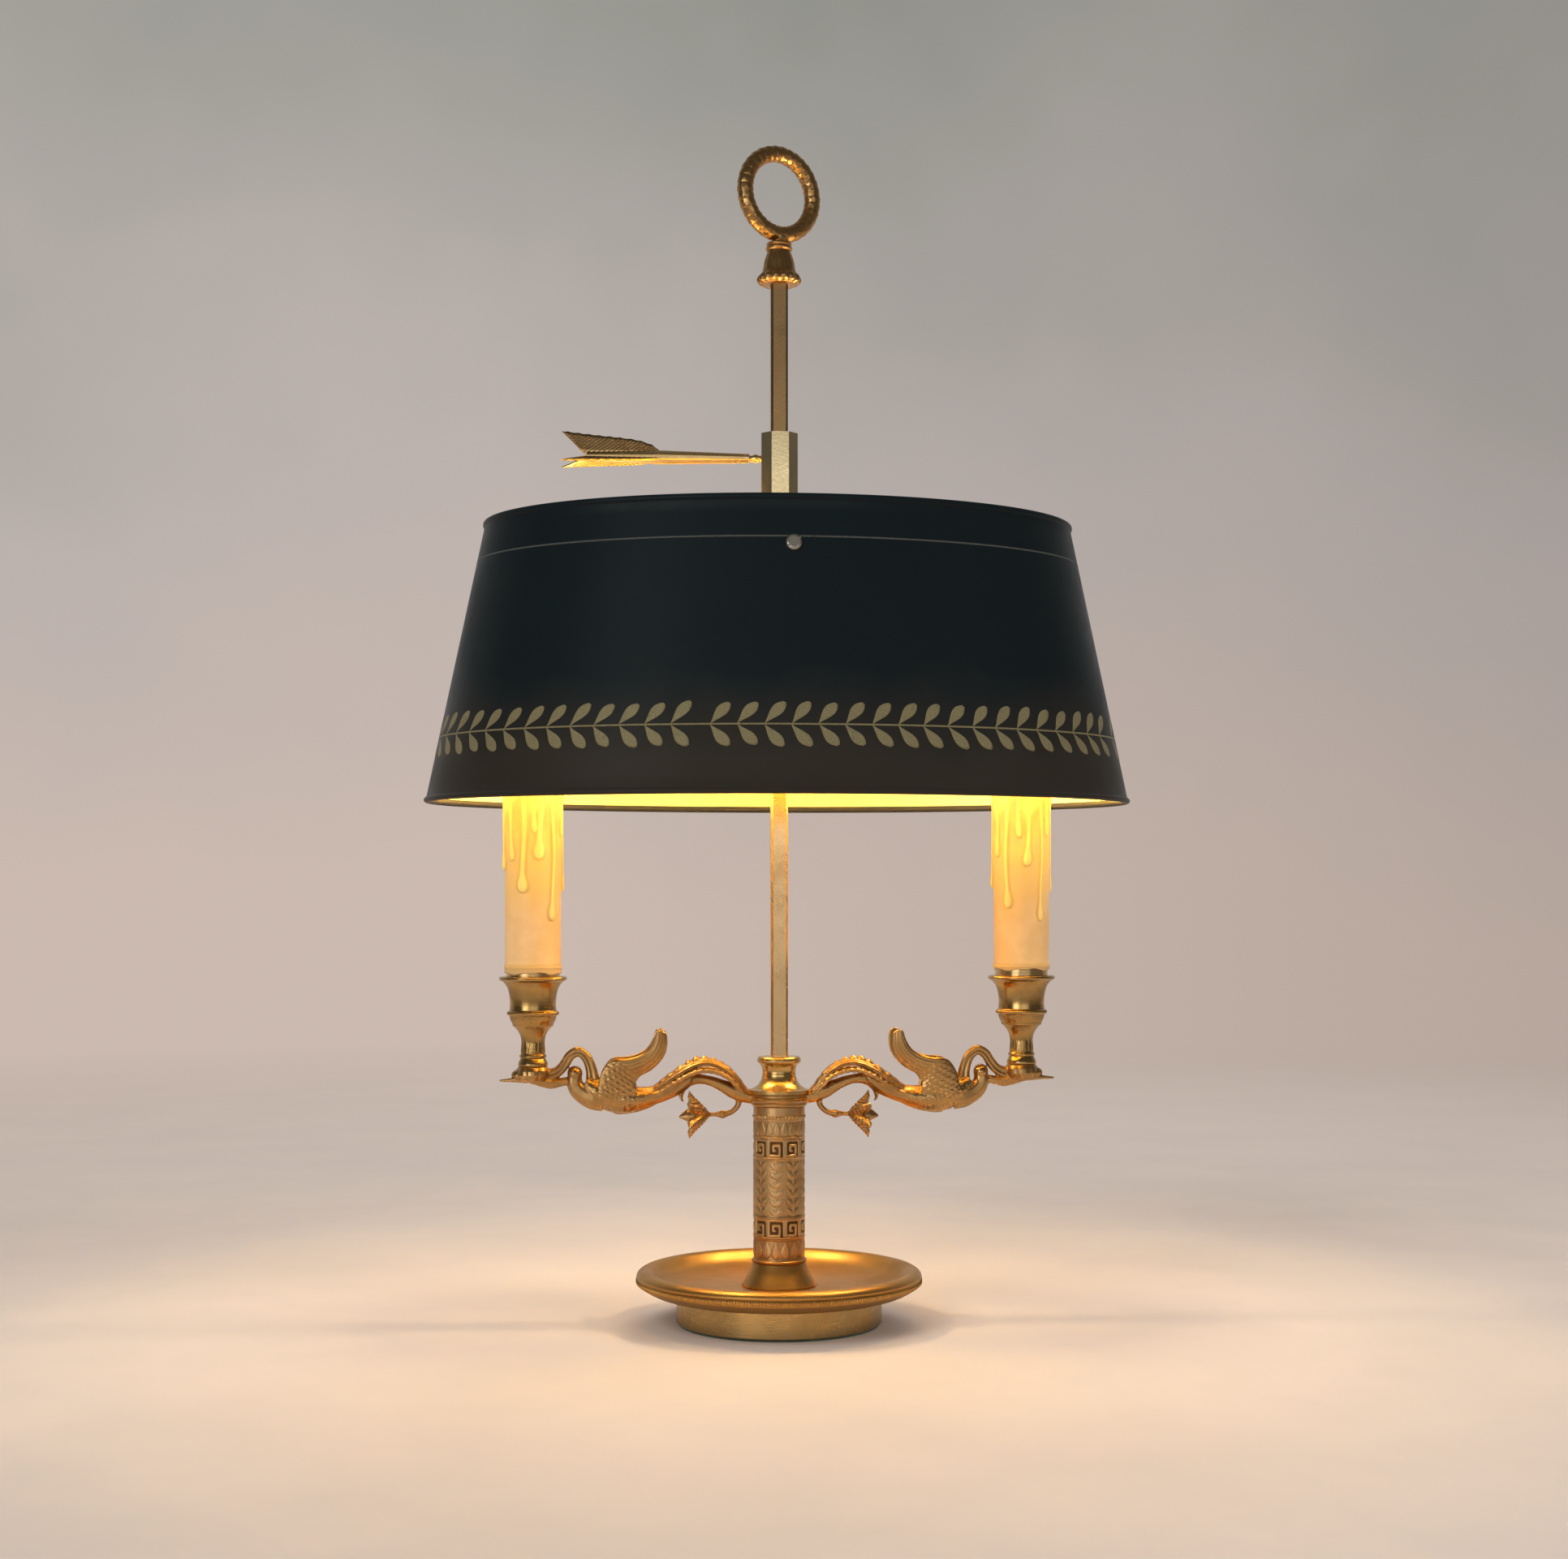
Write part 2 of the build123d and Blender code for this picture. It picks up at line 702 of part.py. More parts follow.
for side_name, side_x in (("left", -cup_reach), ("right", cup_reach)):
    candle_axis = Axis((side_x, 0, 0), (0, 0, 1))
    candle_plane = Plane(origin=(side_x, 0, 0), x_dir=(1, 0, 0), z_dir=(0, -1, 0))

    with BuildPart() as candle_cup:
        with BuildSketch(candle_plane):
            with BuildLine():
                foot = (cup_foot_radius, cup_z)
                foot_top = (cup_foot_radius, cup_z + cup_foot_height)
                waist = (cup_waist_radius, cup_z + cup_waist_z)
                belly = (cup_belly_radius, cup_z + cup_belly_z)
                shoulder = (cup_shoulder_radius, cup_z + cup_shoulder_z)
                bead_low = (cup_bead_radius, cup_z + cup_bead_z - cup_bead_half_height)
                bead_out = (cup_bead_radius + cup_bead_proud, cup_z + cup_bead_z)
                bead_high = (cup_bead_radius, cup_z + cup_bead_z + cup_bead_half_height)
                throat = (cup_throat_radius, cup_z + cup_throat_z)
                flare = (cup_flare_radius, cup_z + cup_flare_z)
                rim_low = (cup_rim_radius, cup_top_z - cup_rim_height)
                rim_out = (cup_rim_radius + cup_rim_roll, cup_top_z - cup_rim_height / 2)
                rim_high = (cup_rim_radius - cup_rim_roll, cup_top_z)
                Line(foot, foot_top)
                Spline(foot_top, waist, belly, shoulder, bead_low)
                ThreePointArc(bead_low, bead_out, bead_high)
                Spline(bead_high, throat, flare, rim_low)
                ThreePointArc(rim_low, rim_out, rim_high)
                Polyline(
                    rim_high,
                    (cup_recess_radius, cup_top_z),
                    (cup_recess_radius, cup_seat_z),
                    (nipple_radius + fit, cup_seat_z),
                    (nipple_radius + fit, cup_z),
                    foot,
                )
            make_face()
        revolve(axis=candle_axis)
    keep(candle_cup, f"candle_cup_{side_name}")

    with BuildPart() as cup_nipple:
        with BuildSketch(candle_plane):
            ring_profile(nipple_bore, nipple_radius, cup_z - nipple_into_head, sleeve_z + nipple_above_seat)
        revolve(axis=candle_axis)
    keep(cup_nipple, f"cup_nipple_{side_name}")

    with BuildPart() as sleeve_seat:
        with BuildSketch(candle_plane):
            ring_profile(nipple_radius + fit, seat_ring_radius, cup_seat_z, sleeve_z)
        revolve(axis=candle_axis)
    keep(sleeve_seat, f"sleeve_seat_{side_name}")

    with BuildPart() as lamp_holder:
        socket_z = socket_top_z - holder_socket_height
        bore_floor_z = socket_top_z - holder_bore_depth
        post_z = sleeve_z + holder_hub_height
        with BuildSketch(candle_plane):
            ring_profile(nipple_radius + fit, holder_hub_radius, sleeve_z, post_z)
            ring_profile(holder_wire_way, holder_post_radius, post_z - holder_post_lap, socket_z + holder_post_lap)
            ring_profile(holder_wire_way, holder_socket_radius, socket_z, bore_floor_z)
            ring_profile(holder_bore_radius, holder_socket_radius, bore_floor_z, socket_top_z)
        revolve(axis=candle_axis)
    keep(lamp_holder, f"lamp_holder_{side_name}")

    with BuildPart() as candle_sleeve:
        with BuildSketch(candle_plane):
            ring_profile(sleeve_radius - sleeve_wall, sleeve_radius, sleeve_z, sleeve_z + sleeve_height)
        revolve(axis=candle_axis)
        fillet(candle_sleeve.edges().group_by(Axis.Z)[-1], 0.4)
    keep(candle_sleeve, f"candle_sleeve_{side_name}")

    with BuildPart() as bulb_cap:
        with BuildSketch(candle_plane):
            with BuildLine():
                Polyline(
                    (0, bulb_z - bulb_cap_height),
                    (bulb_contact_radius, bulb_z - bulb_cap_height),
                    (bulb_cap_radius, bulb_z - bulb_cap_height + bulb_contact_height),
                    (bulb_cap_radius, bulb_z),
                    (0, bulb_z),
                    close=True,
                )
            make_face()
        revolve(axis=candle_axis)
    keep(bulb_cap, f"bulb_cap_{side_name}")

    with BuildPart() as bulb_glass:
        with BuildSketch(candle_plane):
            for skin, bulb_mode in ((0, Mode.ADD), (bulb_wall, Mode.SUBTRACT)):
                with BuildLine():
                    neck = (bulb_cap_radius - skin, bulb_z)
                    belly = (bulb_radius - skin, bulb_z + bulb_belly_z)
                    tip = (bulb_tip_radius - 0.8 * skin, bulb_z + bulb_height - skin)
                    TangentArc(belly, neck, tangent=(0, -1))
                    TangentArc(belly, tip, tangent=(0, 1))
                    Polyline(tip, (0, tip[1]), (0, bulb_z), neck)
                make_face(mode=bulb_mode)
        revolve(axis=candle_axis)
    keep(bulb_glass, f"bulb_glass_{side_name}")

# Shade and what carries it on the bar

with BuildPart() as shade_collar:
    with BuildSketch(Plane.XY.offset(collar_z)) as collar_section:
        Rectangle(collar_across, collar_across)
        chamfer(collar_section.vertices(), collar_chamfer)
    extrude(amount=collar_length)
    with BuildSketch(Plane.XY.offset(collar_z)) as collar_bore:
        Rectangle(bar_across + 2 * fit, bar_across + 2 * fit)
        chamfer(collar_bore.vertices(), bar_chamfer)
    extrude(amount=collar_length, mode=Mode.SUBTRACT)
    with BuildSketch(Plane.YZ.offset(-flat_collar - 1)):
        with Locations((0, key_z)):
            Circle(key_thread_radius + fit)
    extrude(amount=flat_collar + 1, mode=Mode.SUBTRACT)
keep(shade_collar, "shade_collar")


def shade_half_axes(z, inset):
    """Half axes of the tin at a level, measured in from its outside."""
    share = (z - shade_bottom_z) / shade_height
    return (
        shade_bottom_x + (shade_top_x - shade_bottom_x) * share - inset,
        shade_bottom_y + (shade_top_y - shade_bottom_y) * share - inset,
    )


def wall_plane(direction):
    """Plane on the outside of the tin at screw height, its normal pointing out of the shade."""
    half_x, half_y = shade_half_axes(screw_z, 0)
    reach = 1 / ((cos(direction) / half_x) ** 2 + (sin(direction) / half_y) ** 2) ** 0.5
    x = reach * cos(direction)
    y = reach * sin(direction)
    out = Vector(x / half_x**2, y / half_y**2, 0).normalized()
    slope_x = (shade_bottom_x - shade_top_x) / shade_height
    slope_y = (shade_bottom_y - shade_top_y) / shade_height
    slope = ((slope_x * out.X) ** 2 + (slope_y * out.Y) ** 2) ** 0.5
    normal = Vector(out.X, out.Y, slope)
    return Plane(origin=(x, y, screw_z), x_dir=(-out.Y, out.X, 0), z_dir=normal)


wall_planes = [wall_plane(radians(a)) for a in spider_angles]
rolled_edges = []

for level in (shade_bottom_z, shade_top_z):
    with BuildPart() as rolled_edge:
        with BuildSketch(Plane.XY.offset(level - shade_bead)):
            Ellipse(*shade_half_axes(level, shade_wall / 2 - shade_bead))
            Ellipse(*shade_half_axes(level, shade_wall / 2 + shade_bead), mode=Mode.SUBTRACT)
        extrude(amount=2 * shade_bead)
        fillet(rolled_edge.edges(), 0.97 * shade_bead)
    rolled_edges.append(rolled_edge.part)

with BuildPart() as shade_shell:
    for level in (shade_bottom_z, shade_top_z):
        with BuildSketch(Plane.XY.offset(level)):
            Ellipse(*shade_half_axes(level, 0))
    loft(ruled=True)
    for level in (shade_bottom_z, shade_top_z):
        with BuildSketch(Plane.XY.offset(level)):
            Ellipse(*shade_half_axes(level, shade_wall))
    loft(ruled=True, mode=Mode.SUBTRACT)
    add(rolled_edges)
    for plane in wall_planes:
        with BuildSketch(plane):
            Circle(screw_shank_radius + fit)
        extrude(amount=screw_length, both=True, mode=Mode.SUBTRACT)
keep(shade_shell, "shade_shell")

with BuildPart() as shade_spider:
    with BuildSketch(Plane.XY.offset(collar_z)):
        Circle(spider_hub_radius)
    extrude(amount=spider_hub_height)
    for plane in wall_planes:
        reach_x, reach_y = plane.origin.X, plane.origin.Y
        reach = (reach_x**2 + reach_y**2) ** 0.5
        arm_plane = Plane(
            origin=(0, 0, collar_z),
            x_dir=(reach_x, reach_y, 0),
            z_dir=(0, 0, 1),
        )
        with BuildSketch(arm_plane):
            with Locations((reach / 2, 0)):
                Rectangle(reach, spider_bar_width)
        extrude(amount=spider_bar_thickness)
        tab_drop = (screw_z - collar_z) / cos(wall_slope)
        with BuildSketch(plane.offset(-shade_wall - tab_gap)):
            with Locations((0, -tab_drop)):
                Rectangle(4 * spider_bar_width, 4 * spider_bar_width)
        extrude(amount=2 * spider_bar_width, mode=Mode.SUBTRACT)
        with BuildSketch(plane.offset(-shade_wall - tab_gap)):
            with Locations((0, (spider_tab_above_screw - tab_drop) / 2)):
                Rectangle(spider_bar_width, spider_tab_above_screw + tab_drop)
        extrude(amount=-spider_tab_thickness)
    with BuildSketch(Plane.XY.offset(collar_z)) as hub_hole:
        Rectangle(collar_across + 2 * fit, collar_across + 2 * fit)
        chamfer(hub_hole.vertices(), collar_chamfer)
    extrude(amount=spider_hub_height, mode=Mode.SUBTRACT)
    for plane in wall_planes:
        with BuildSketch(plane):
            Circle(screw_shank_radius + fit)
        extrude(amount=-screw_length, mode=Mode.SUBTRACT)
keep(shade_spider, "shade_spider")

with BuildPart() as shade_screws:
    for plane in wall_planes:
        with BuildSketch(plane):
            Circle(screw_head_radius)
        extrude(amount=screw_head_height)
        with BuildSketch(plane):
            Circle(screw_shank_radius)
        extrude(amount=-screw_length)
    head_rims = shade_screws.edges().filter_by(GeomType.CIRCLE)
    domes = [e for e in head_rims if abs(e.radius - screw_head_radius) < 0.01]
    outer = [e for e in domes if min(abs(p.to_local_coords(e.arc_center).Z) for p in wall_planes) > 0.5]
    fillet(outer, screw_head_height * 0.7)
    for plane in wall_planes:
        with BuildSketch(plane.offset(screw_head_height - screw_slot_depth)):
            Rectangle(2.2 * screw_head_radius, screw_slot, rotation=screw_slot_turn)
        extrude(amount=2, mode=Mode.SUBTRACT)
keep(shade_screws, "shade_screws")

# Arrow key: the screw that clamps the collar on the bar

key_neck_x = -flat_collar - play
key_shaft_x = key_neck_x - key_neck_length
key_vane_x = key_shaft_x - key_shaft_length
pad_x = -flat_bar - fit - pad_thickness

with BuildPart() as clamp_pad:
    with BuildSketch(Plane.YZ.offset(pad_x)):
        with Locations((0, key_z)):
            Circle(key_thread_radius - fit)
    extrude(amount=pad_thickness)
keep(clamp_pad, "clamp_pad")

with BuildPart() as arrow_key:
    with BuildSketch(Plane.YZ.offset(key_neck_x)):
        with Locations((0, key_z)):
            Circle(key_thread_radius)
    extrude(amount=pad_x - key_neck_x)
    with BuildSketch(Plane.YZ.offset(key_shaft_x)):
        with Locations((0, key_z)):
            Circle(key_neck_radius)
    extrude(amount=key_neck_length)
    with Locations((key_neck_x - 1.2, 0, key_z)):
        Sphere(key_ball_radius)
    shaft_start = (key_shaft_x, key_shaft_thin)
    shaft_middle = (key_vane_x, key_shaft_thick)
    shaft_end = (key_vane_x - key_vane_length * key_nock, key_shaft_thin)
    for run in ((shaft_start, shaft_middle), (shaft_middle, shaft_end)):
        for x, radius in run:
            with BuildSketch(Plane.YZ.offset(x)):
                with Locations((0, key_z)):
                    RegularPolygon(radius, key_shaft_sides, major_radius=False)
        loft(ruled=True)
    for turn in (90, 210, 330):
        vane_up = (0, cos(radians(turn)), sin(radians(turn)))
        vane_plane = Plane(
            origin=(key_vane_x, 0, key_z),
            x_dir=(-1, 0, 0),
            z_dir=Vector(-1, 0, 0).cross(Vector(vane_up)),
        )
        with BuildSketch(vane_plane):
            with BuildLine():
                root = (-1, key_vane_root)
                tip = (key_vane_length, key_vane_height)
                notch = (key_vane_length * key_nock, 2.6)
                Spline(root, (5.0, 6.4), (14.0, 9.0), (30.0, 10.6), tip, tangents=((1, 0.6), (1, 0.12)))
                Polyline(tip, notch, (key_vane_length * 0.7, 0), (-1, 0), root)
            make_face()
        extrude(amount=key_vane_thickness / 2, both=True)
keep(arrow_key, "arrow_key")

for piece in parts_made:
    print(piece.label, round(piece.volume), len(piece.solids()))
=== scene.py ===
import math
import random

import bpy
import numpy as np
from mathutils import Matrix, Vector


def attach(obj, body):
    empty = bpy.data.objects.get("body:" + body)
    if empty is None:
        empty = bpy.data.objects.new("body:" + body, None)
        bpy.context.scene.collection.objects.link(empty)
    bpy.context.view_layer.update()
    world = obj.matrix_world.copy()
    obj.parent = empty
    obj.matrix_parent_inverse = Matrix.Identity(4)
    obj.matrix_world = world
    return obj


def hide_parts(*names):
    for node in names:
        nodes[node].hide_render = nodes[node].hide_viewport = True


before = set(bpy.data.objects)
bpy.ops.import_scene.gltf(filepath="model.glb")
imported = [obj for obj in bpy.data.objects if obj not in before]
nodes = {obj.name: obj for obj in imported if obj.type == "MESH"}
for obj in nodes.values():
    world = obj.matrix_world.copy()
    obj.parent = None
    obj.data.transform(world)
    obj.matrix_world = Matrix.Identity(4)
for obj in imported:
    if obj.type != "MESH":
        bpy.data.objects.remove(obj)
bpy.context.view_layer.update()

mm = 0.001
fullTurn = 2 * math.pi


def addObject(name, data, place=(0, 0, 0)):
    thing = bpy.data.objects.new(name, data)
    thing.location = place
    bpy.context.scene.collection.objects.link(thing)
    return thing


# Camera

cameraSetup = {
    "place": (-0.078, -1.119, 0.213),   # metres
    "lens": 51.24,
    "turn": -3.99,                      # degrees to the right
    "shift": (0.0031, 0.0761),
}
cameraData = bpy.data.cameras.new("viewCamera")
cameraData.sensor_width = 36
cameraData.lens = cameraSetup["lens"]
cameraData.shift_x, cameraData.shift_y = cameraSetup["shift"]
viewCamera = addObject("viewCamera", cameraData, cameraSetup["place"])
viewCamera.rotation_euler = (math.radians(90), 0, math.radians(cameraSetup["turn"]))
bpy.context.scene.camera = viewCamera
bpy.context.scene.view_settings.view_transform = "Standard"
print("camera set")


# Mesh helpers. Shapes are points and faces, worked out in millimetres and stored in metres.

def turnSteps(count):
    return np.linspace(0, fullTurn, count, endpoint=False)


def gridFaces(rows, columns, wrapRows=False):
    i, j = np.meshgrid(np.arange(rows if wrapRows else rows - 1), np.arange(columns), indexing="ij")
    row, nextRow, nextColumn = i * columns, (i + 1) % rows * columns, (j + 1) % columns
    quads = np.stack([row + j, row + nextColumn, nextRow + nextColumn, nextRow + j], axis=-1)
    return quads.reshape(-1, 4).tolist()


def slabFaces(rows, columns):
    # a thin slab: two grids of points, one after the other, joined round their rim
    count, end, faces = rows * columns, columns - 1, []
    for i in range(rows - 1):
        for j in range(end):
            a, b = i * columns + j, (i + 1) * columns + j
            faces += [[a, a + 1, b + 1, b], [count + a, count + b, count + b + 1, count + a + 1]]
    for i in range(rows - 1):
        a, b = i * columns, (i + 1) * columns
        faces += [[a, b, count + b, count + a], [a + end, count + a + end, count + b + end, b + end]]
    for j in range(end):
        a = (rows - 1) * columns + j
        faces += [[j, count + j, count + j + 1, j + 1], [a, a + 1, count + a + 1, count + a]]
    return faces


def flipped(faces):
    return [face[::-1] for face in faces]


def capped(points, ends):
    # a tube of rings, closed by one point at each end
    count, sides = points.shape[:2]
    first, base = count * sides, (count - 1) * sides
    faces = flipped(gridFaces(count, sides))
    faces += [[first, j, (j + 1) % sides] for j in range(sides)]
    faces += [[first + 1, base + (j + 1) % sides, base + j] for j in range(sides)]
    return points.reshape(-1, 3).tolist() + ends, faces


def joinShapes(shapes):
    points, faces = [], []
    for shapePoints, shapeFaces in shapes:
        start = len(points)
        points.extend(shapePoints)
        faces.extend([[k + start for k in face] for face in shapeFaces])
    return points, faces


def newMesh(name, shape, materials=(), scale=1.0):
    mesh = bpy.data.meshes.new(name)
    mesh.from_pydata((np.asarray(shape[0], dtype=float) * scale).tolist(), [], shape[1])
    for material in materials:
        mesh.materials.append(material)
    return mesh


def makePiece(name, shape, materials, replaced=(), body="lamp", pickMaterial=None):
    mesh = newMesh(name, shape, materials, mm)
    mesh.validate()
    mesh.shade_smooth()
    if pickMaterial:
        for polygon in mesh.polygons:
            polygon.material_index = pickMaterial(polygon.center / mm, polygon.normal)
    piece = addObject(name, mesh)
    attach(piece, body)
    if replaced:
        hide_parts(*replaced)
    return piece


def curveThrough(points, step=0.6):
    # smooth curve through the points, sampled about every step
    p = [np.array(q, dtype=float) for q in points]
    p = [2 * p[0] - p[1]] + p + [2 * p[-1] - p[-2]]
    samples = []
    for k in range(1, len(p) - 2):
        count = max(2, int(np.linalg.norm(p[k + 1] - p[k]) / step))
        for t in np.linspace(0, 1, count, endpoint=False):
            a = 2 * p[k]
            b = (p[k + 1] - p[k - 1]) * t
            c = (2 * p[k - 1] - 5 * p[k] + 4 * p[k + 1] - p[k + 2]) * t * t
            d = (-p[k - 1] + 3 * p[k] - 3 * p[k + 1] + p[k + 2]) * t ** 3
            samples.append(0.5 * (a + b + c + d))
    samples.append(p[-2])
    return np.array(samples)


def arcBetween(centre, radius, start, end, steps):
    angles = np.radians(np.linspace(start, end, steps))
    return [(centre[0] + radius * math.cos(a), centre[1] + radius * math.sin(a)) for a in angles]


def turned(profile, segments, centreX=0.0, relief=None, closed=True):
    # a lathe shape: profile is parts of radius and height, relief adds to the radius
    profile = np.concatenate([np.asarray(part, dtype=float) for part in profile])
    angle, radius = np.meshgrid(turnSteps(segments), profile[:, 0])
    height = np.repeat(profile[:, 1:], segments, axis=1)
    if relief:
        radius = radius + relief(angle, radius, height)
    points = np.stack([centreX + radius * np.cos(angle), radius * np.sin(angle), height], axis=-1)
    return points.reshape(-1, 3).tolist(), gridFaces(len(profile), segments, closed)


def strand(path, width, depth=None, sides=20, offsetY=(0, 0), relief=None):
    # a bar along a path of x, z: width is across the path in its plane, depth is along y
    path = np.asarray(path, dtype=float)
    share = np.linspace(0, 1, len(path))
    width, depth, offset = [np.interp(share, np.linspace(0, 1, len(v)), v)[:, None]
                            for v in (width, depth or width, offsetY)]
    tangent = np.gradient(path, axis=0)
    tangent /= np.linalg.norm(tangent, axis=1)[:, None] + 1e-9
    angle = turnSteps(sides)[None, :]
    bulge = relief(share[:, None], angle) if relief else np.ones((len(path), sides))
    inPlane = width * np.cos(angle) * bulge
    points = np.stack([path[:, :1] - tangent[:, 1:] * inPlane, offset + depth * np.sin(angle) * bulge,
                       path[:, 1:] + tangent[:, :1] * inPlane], axis=-1)
    return capped(points, [(path[k, 0], offset[k, 0], path[k, 1]) for k in (0, -1)])


def ball(centre, radii, segments=20, rings=12):
    points = []
    for i in range(rings + 1):
        polar = math.pi * i / rings
        for a in (fullTurn * j / segments for j in range(segments)):
            way = (math.sin(polar) * math.cos(a), math.sin(polar) * math.sin(a), math.cos(polar))
            points.append([c + r * w for c, r, w in zip(centre, radii, way)])
    return points, [[a, d, c, b] for a, b, c, d in gridFaces(rings + 1, segments)]


def fused(shapes, voxel, smoothing):
    # casts overlapping closed shapes into one skin
    mesh = newMesh("mould", joinShapes(shapes))
    mould = addObject("mould", mesh)
    remesh = mould.modifiers.new("cast", "REMESH")
    remesh.mode, remesh.voxel_size = "VOXEL", voxel
    relax = mould.modifiers.new("relax", "SMOOTH")
    relax.factor, relax.iterations = 0.5, smoothing
    bpy.context.view_layer.update()
    evaluated = mould.evaluated_get(bpy.context.evaluated_depsgraph_get())
    cast = bpy.data.meshes.new_from_object(evaluated)
    coordinates = np.zeros(len(cast.vertices) * 3)
    cast.vertices.foreach_get("co", coordinates)
    result = coordinates.reshape(-1, 3).tolist(), [list(p.vertices) for p in cast.polygons]
    bpy.data.objects.remove(mould)
    bpy.data.meshes.remove(cast)
    bpy.data.meshes.remove(mesh)
    return result


def softStep(value, low, high):
    t = np.clip((value - low) / (high - low), 0, 1)
    return t * t * (3 - 2 * t)


# Shader helpers: a value is a number, a colour of three or another node's output

def feed(tree, socket, value):
    if isinstance(value, bpy.types.NodeSocket):
        tree.links.new(value, socket)
    elif value is not None:
        socket.default_value = (*value, 1) if socket.type == "RGBA" else value


def addNode(tree, kind, inputs=None, **settings):
    node = tree.nodes.new("ShaderNode" + kind)
    for key, value in settings.items():
        setattr(node, key, value)
    for key, value in (inputs or {}).items():
        feed(tree, node.inputs[key], value)
    return node


def mathNode(tree, operation, first, second=None, clamp=False):
    return addNode(tree, "Math", {0: first, 1: second}, operation=operation, use_clamp=clamp).outputs[0]


def plus(tree, first, second, clamp=False):
    return mathNode(tree, "ADD", first, second, clamp)


def times(tree, first, second, clamp=False):
    return mathNode(tree, "MULTIPLY", first, second, clamp)


def mixColors(tree, factor, first, second):
    return addNode(tree, "Mix", {0: factor, 6: first, 7: second}, data_type="RGBA").outputs[2]


def mixShaders(tree, factor, first, second):
    return addNode(tree, "MixShader", {0: factor, 1: first.outputs[0], 2: second.outputs[0]})


def noiseNode(tree, vector, scale, detail=3.0, roughness=0.5):
    return addNode(tree, "TexNoise", {
        "Vector": vector, "Scale": scale, "Detail": detail, "Roughness": roughness,
    }).outputs["Fac"]


def rangeNode(tree, value, low, high, lowOut=0.0, highOut=1.0):
    return addNode(tree, "MapRange", {
        "Value": value, "From Min": low, "From Max": high, "To Min": lowOut, "To Max": highOut,
    }).outputs["Result"]


def placeOf(tree):
    return addNode(tree, "TexCoord").outputs["Object"]


def axesOf(tree, vector):
    return addNode(tree, "SeparateXYZ", {0: vector}).outputs


def clearTree(owner):
    owner.use_nodes = True
    owner.node_tree.nodes.clear()
    return owner.node_tree


def newMaterial(name):
    material = bpy.data.materials.new(name)
    tree = clearTree(material)
    shader = addNode(tree, "BsdfPrincipled")
    addNode(tree, "OutputMaterial", {0: shader.outputs[0]})
    return material, tree, shader


def applyLook(tree, shader, values, height=None, strength=0.0, distance=0.0004):
    for label, value in values.items():
        feed(tree, shader.inputs[label], value)
    if height is not None:
        bump = addNode(tree, "Bump", {"Strength": strength, "Distance": distance, "Height": height})
        feed(tree, shader.inputs["Normal"], bump.outputs[0])


# Shader groups shared by the finishes

def newGroup(name, inputs, outputs):
    group = bpy.data.node_groups.new(name, "ShaderNodeTree")
    kinds = {True: "NodeSocketColor", False: "NodeSocketFloat"}
    for label, value in inputs.items():
        isColor = isinstance(value, tuple)
        socket = group.interface.new_socket(name=label, in_out="INPUT", socket_type=kinds[isColor])
        socket.default_value = (*value, 1) if isColor else value
    for label in outputs:
        group.interface.new_socket(name=label, in_out="OUTPUT", socket_type=kinds[label == "Color"])
    return group, group.nodes.new("NodeGroupInput").outputs, group.nodes.new("NodeGroupOutput").inputs


def placeGroup(tree, group, values):
    return addNode(tree, "Group", values, node_tree=group).outputs


def buildTarnish():
    # slow colour drift and fine specks of a handled metal or paint
    group, source, sink = newGroup("tarnish", {
        "Bright": (0.8, 0.5, 0.2), "Dull": (0.4, 0.25, 0.1), "Scale": 40.0, "Amount": 0.5, "Roughness": 0.25,
        "Roughness Drift": 0.15,
    }, ("Color", "Roughness", "Height"))
    place = placeOf(group)
    patches = noiseNode(group, place, source["Scale"], 5.0, 0.62)
    specks = noiseNode(group, place, times(group, source["Scale"], 14.0), 3.0, 0.6)
    specked = times(group, rangeNode(group, specks, 0.52, 0.75), 0.35)
    both = plus(group, rangeNode(group, patches, 0.38, 0.66), specked, clamp=True)
    color = mixColors(group, times(group, both, source["Amount"]), source["Bright"], source["Dull"])
    feed(group, sink["Color"], color)
    drift = times(group, both, source["Roughness Drift"])
    feed(group, sink["Roughness"], plus(group, source["Roughness"], drift))
    feed(group, sink["Height"], specks)
    return group


def buildRelief():
    # what lies high is rubbed bright, what lies deep holds dirt
    group, source, sink = newGroup("relief", {"Sharpness": 8.0}, ("Raised", "Deep"))
    pointiness = addNode(group, "NewGeometry").outputs["Pointiness"]
    scaled = times(group, mathNode(group, "SUBTRACT", pointiness, 0.5), source["Sharpness"])
    feed(group, sink["Raised"], times(group, scaled, 1.0, clamp=True))
    feed(group, sink["Deep"], times(group, scaled, -1.0, clamp=True))
    return group


def buildTurning():
    # fine rings left by the lathe and the polishing mop, round an upright axis
    group, source, sink = newGroup("turning", {"Axis X": 0.0, "Rings": 900.0}, ("Height", "Mask", "Distance"))
    x, y, z = axesOf(group, placeOf(group))
    x = mathNode(group, "SUBTRACT", mathNode(group, "ABSOLUTE", x), source["Axis X"])
    distance = mathNode(group, "SQRT", plus(group, times(group, x, x), times(group, y, y)))
    section = addNode(group, "CombineXYZ", {0: distance, 1: z}).outputs[0]
    rings = noiseNode(group, section, source["Rings"], 2.0, 0.7)
    feed(group, sink["Height"], rings)
    feed(group, sink["Mask"], rangeNode(group, rings, 0.45, 0.7))
    feed(group, sink["Distance"], distance)
    return group


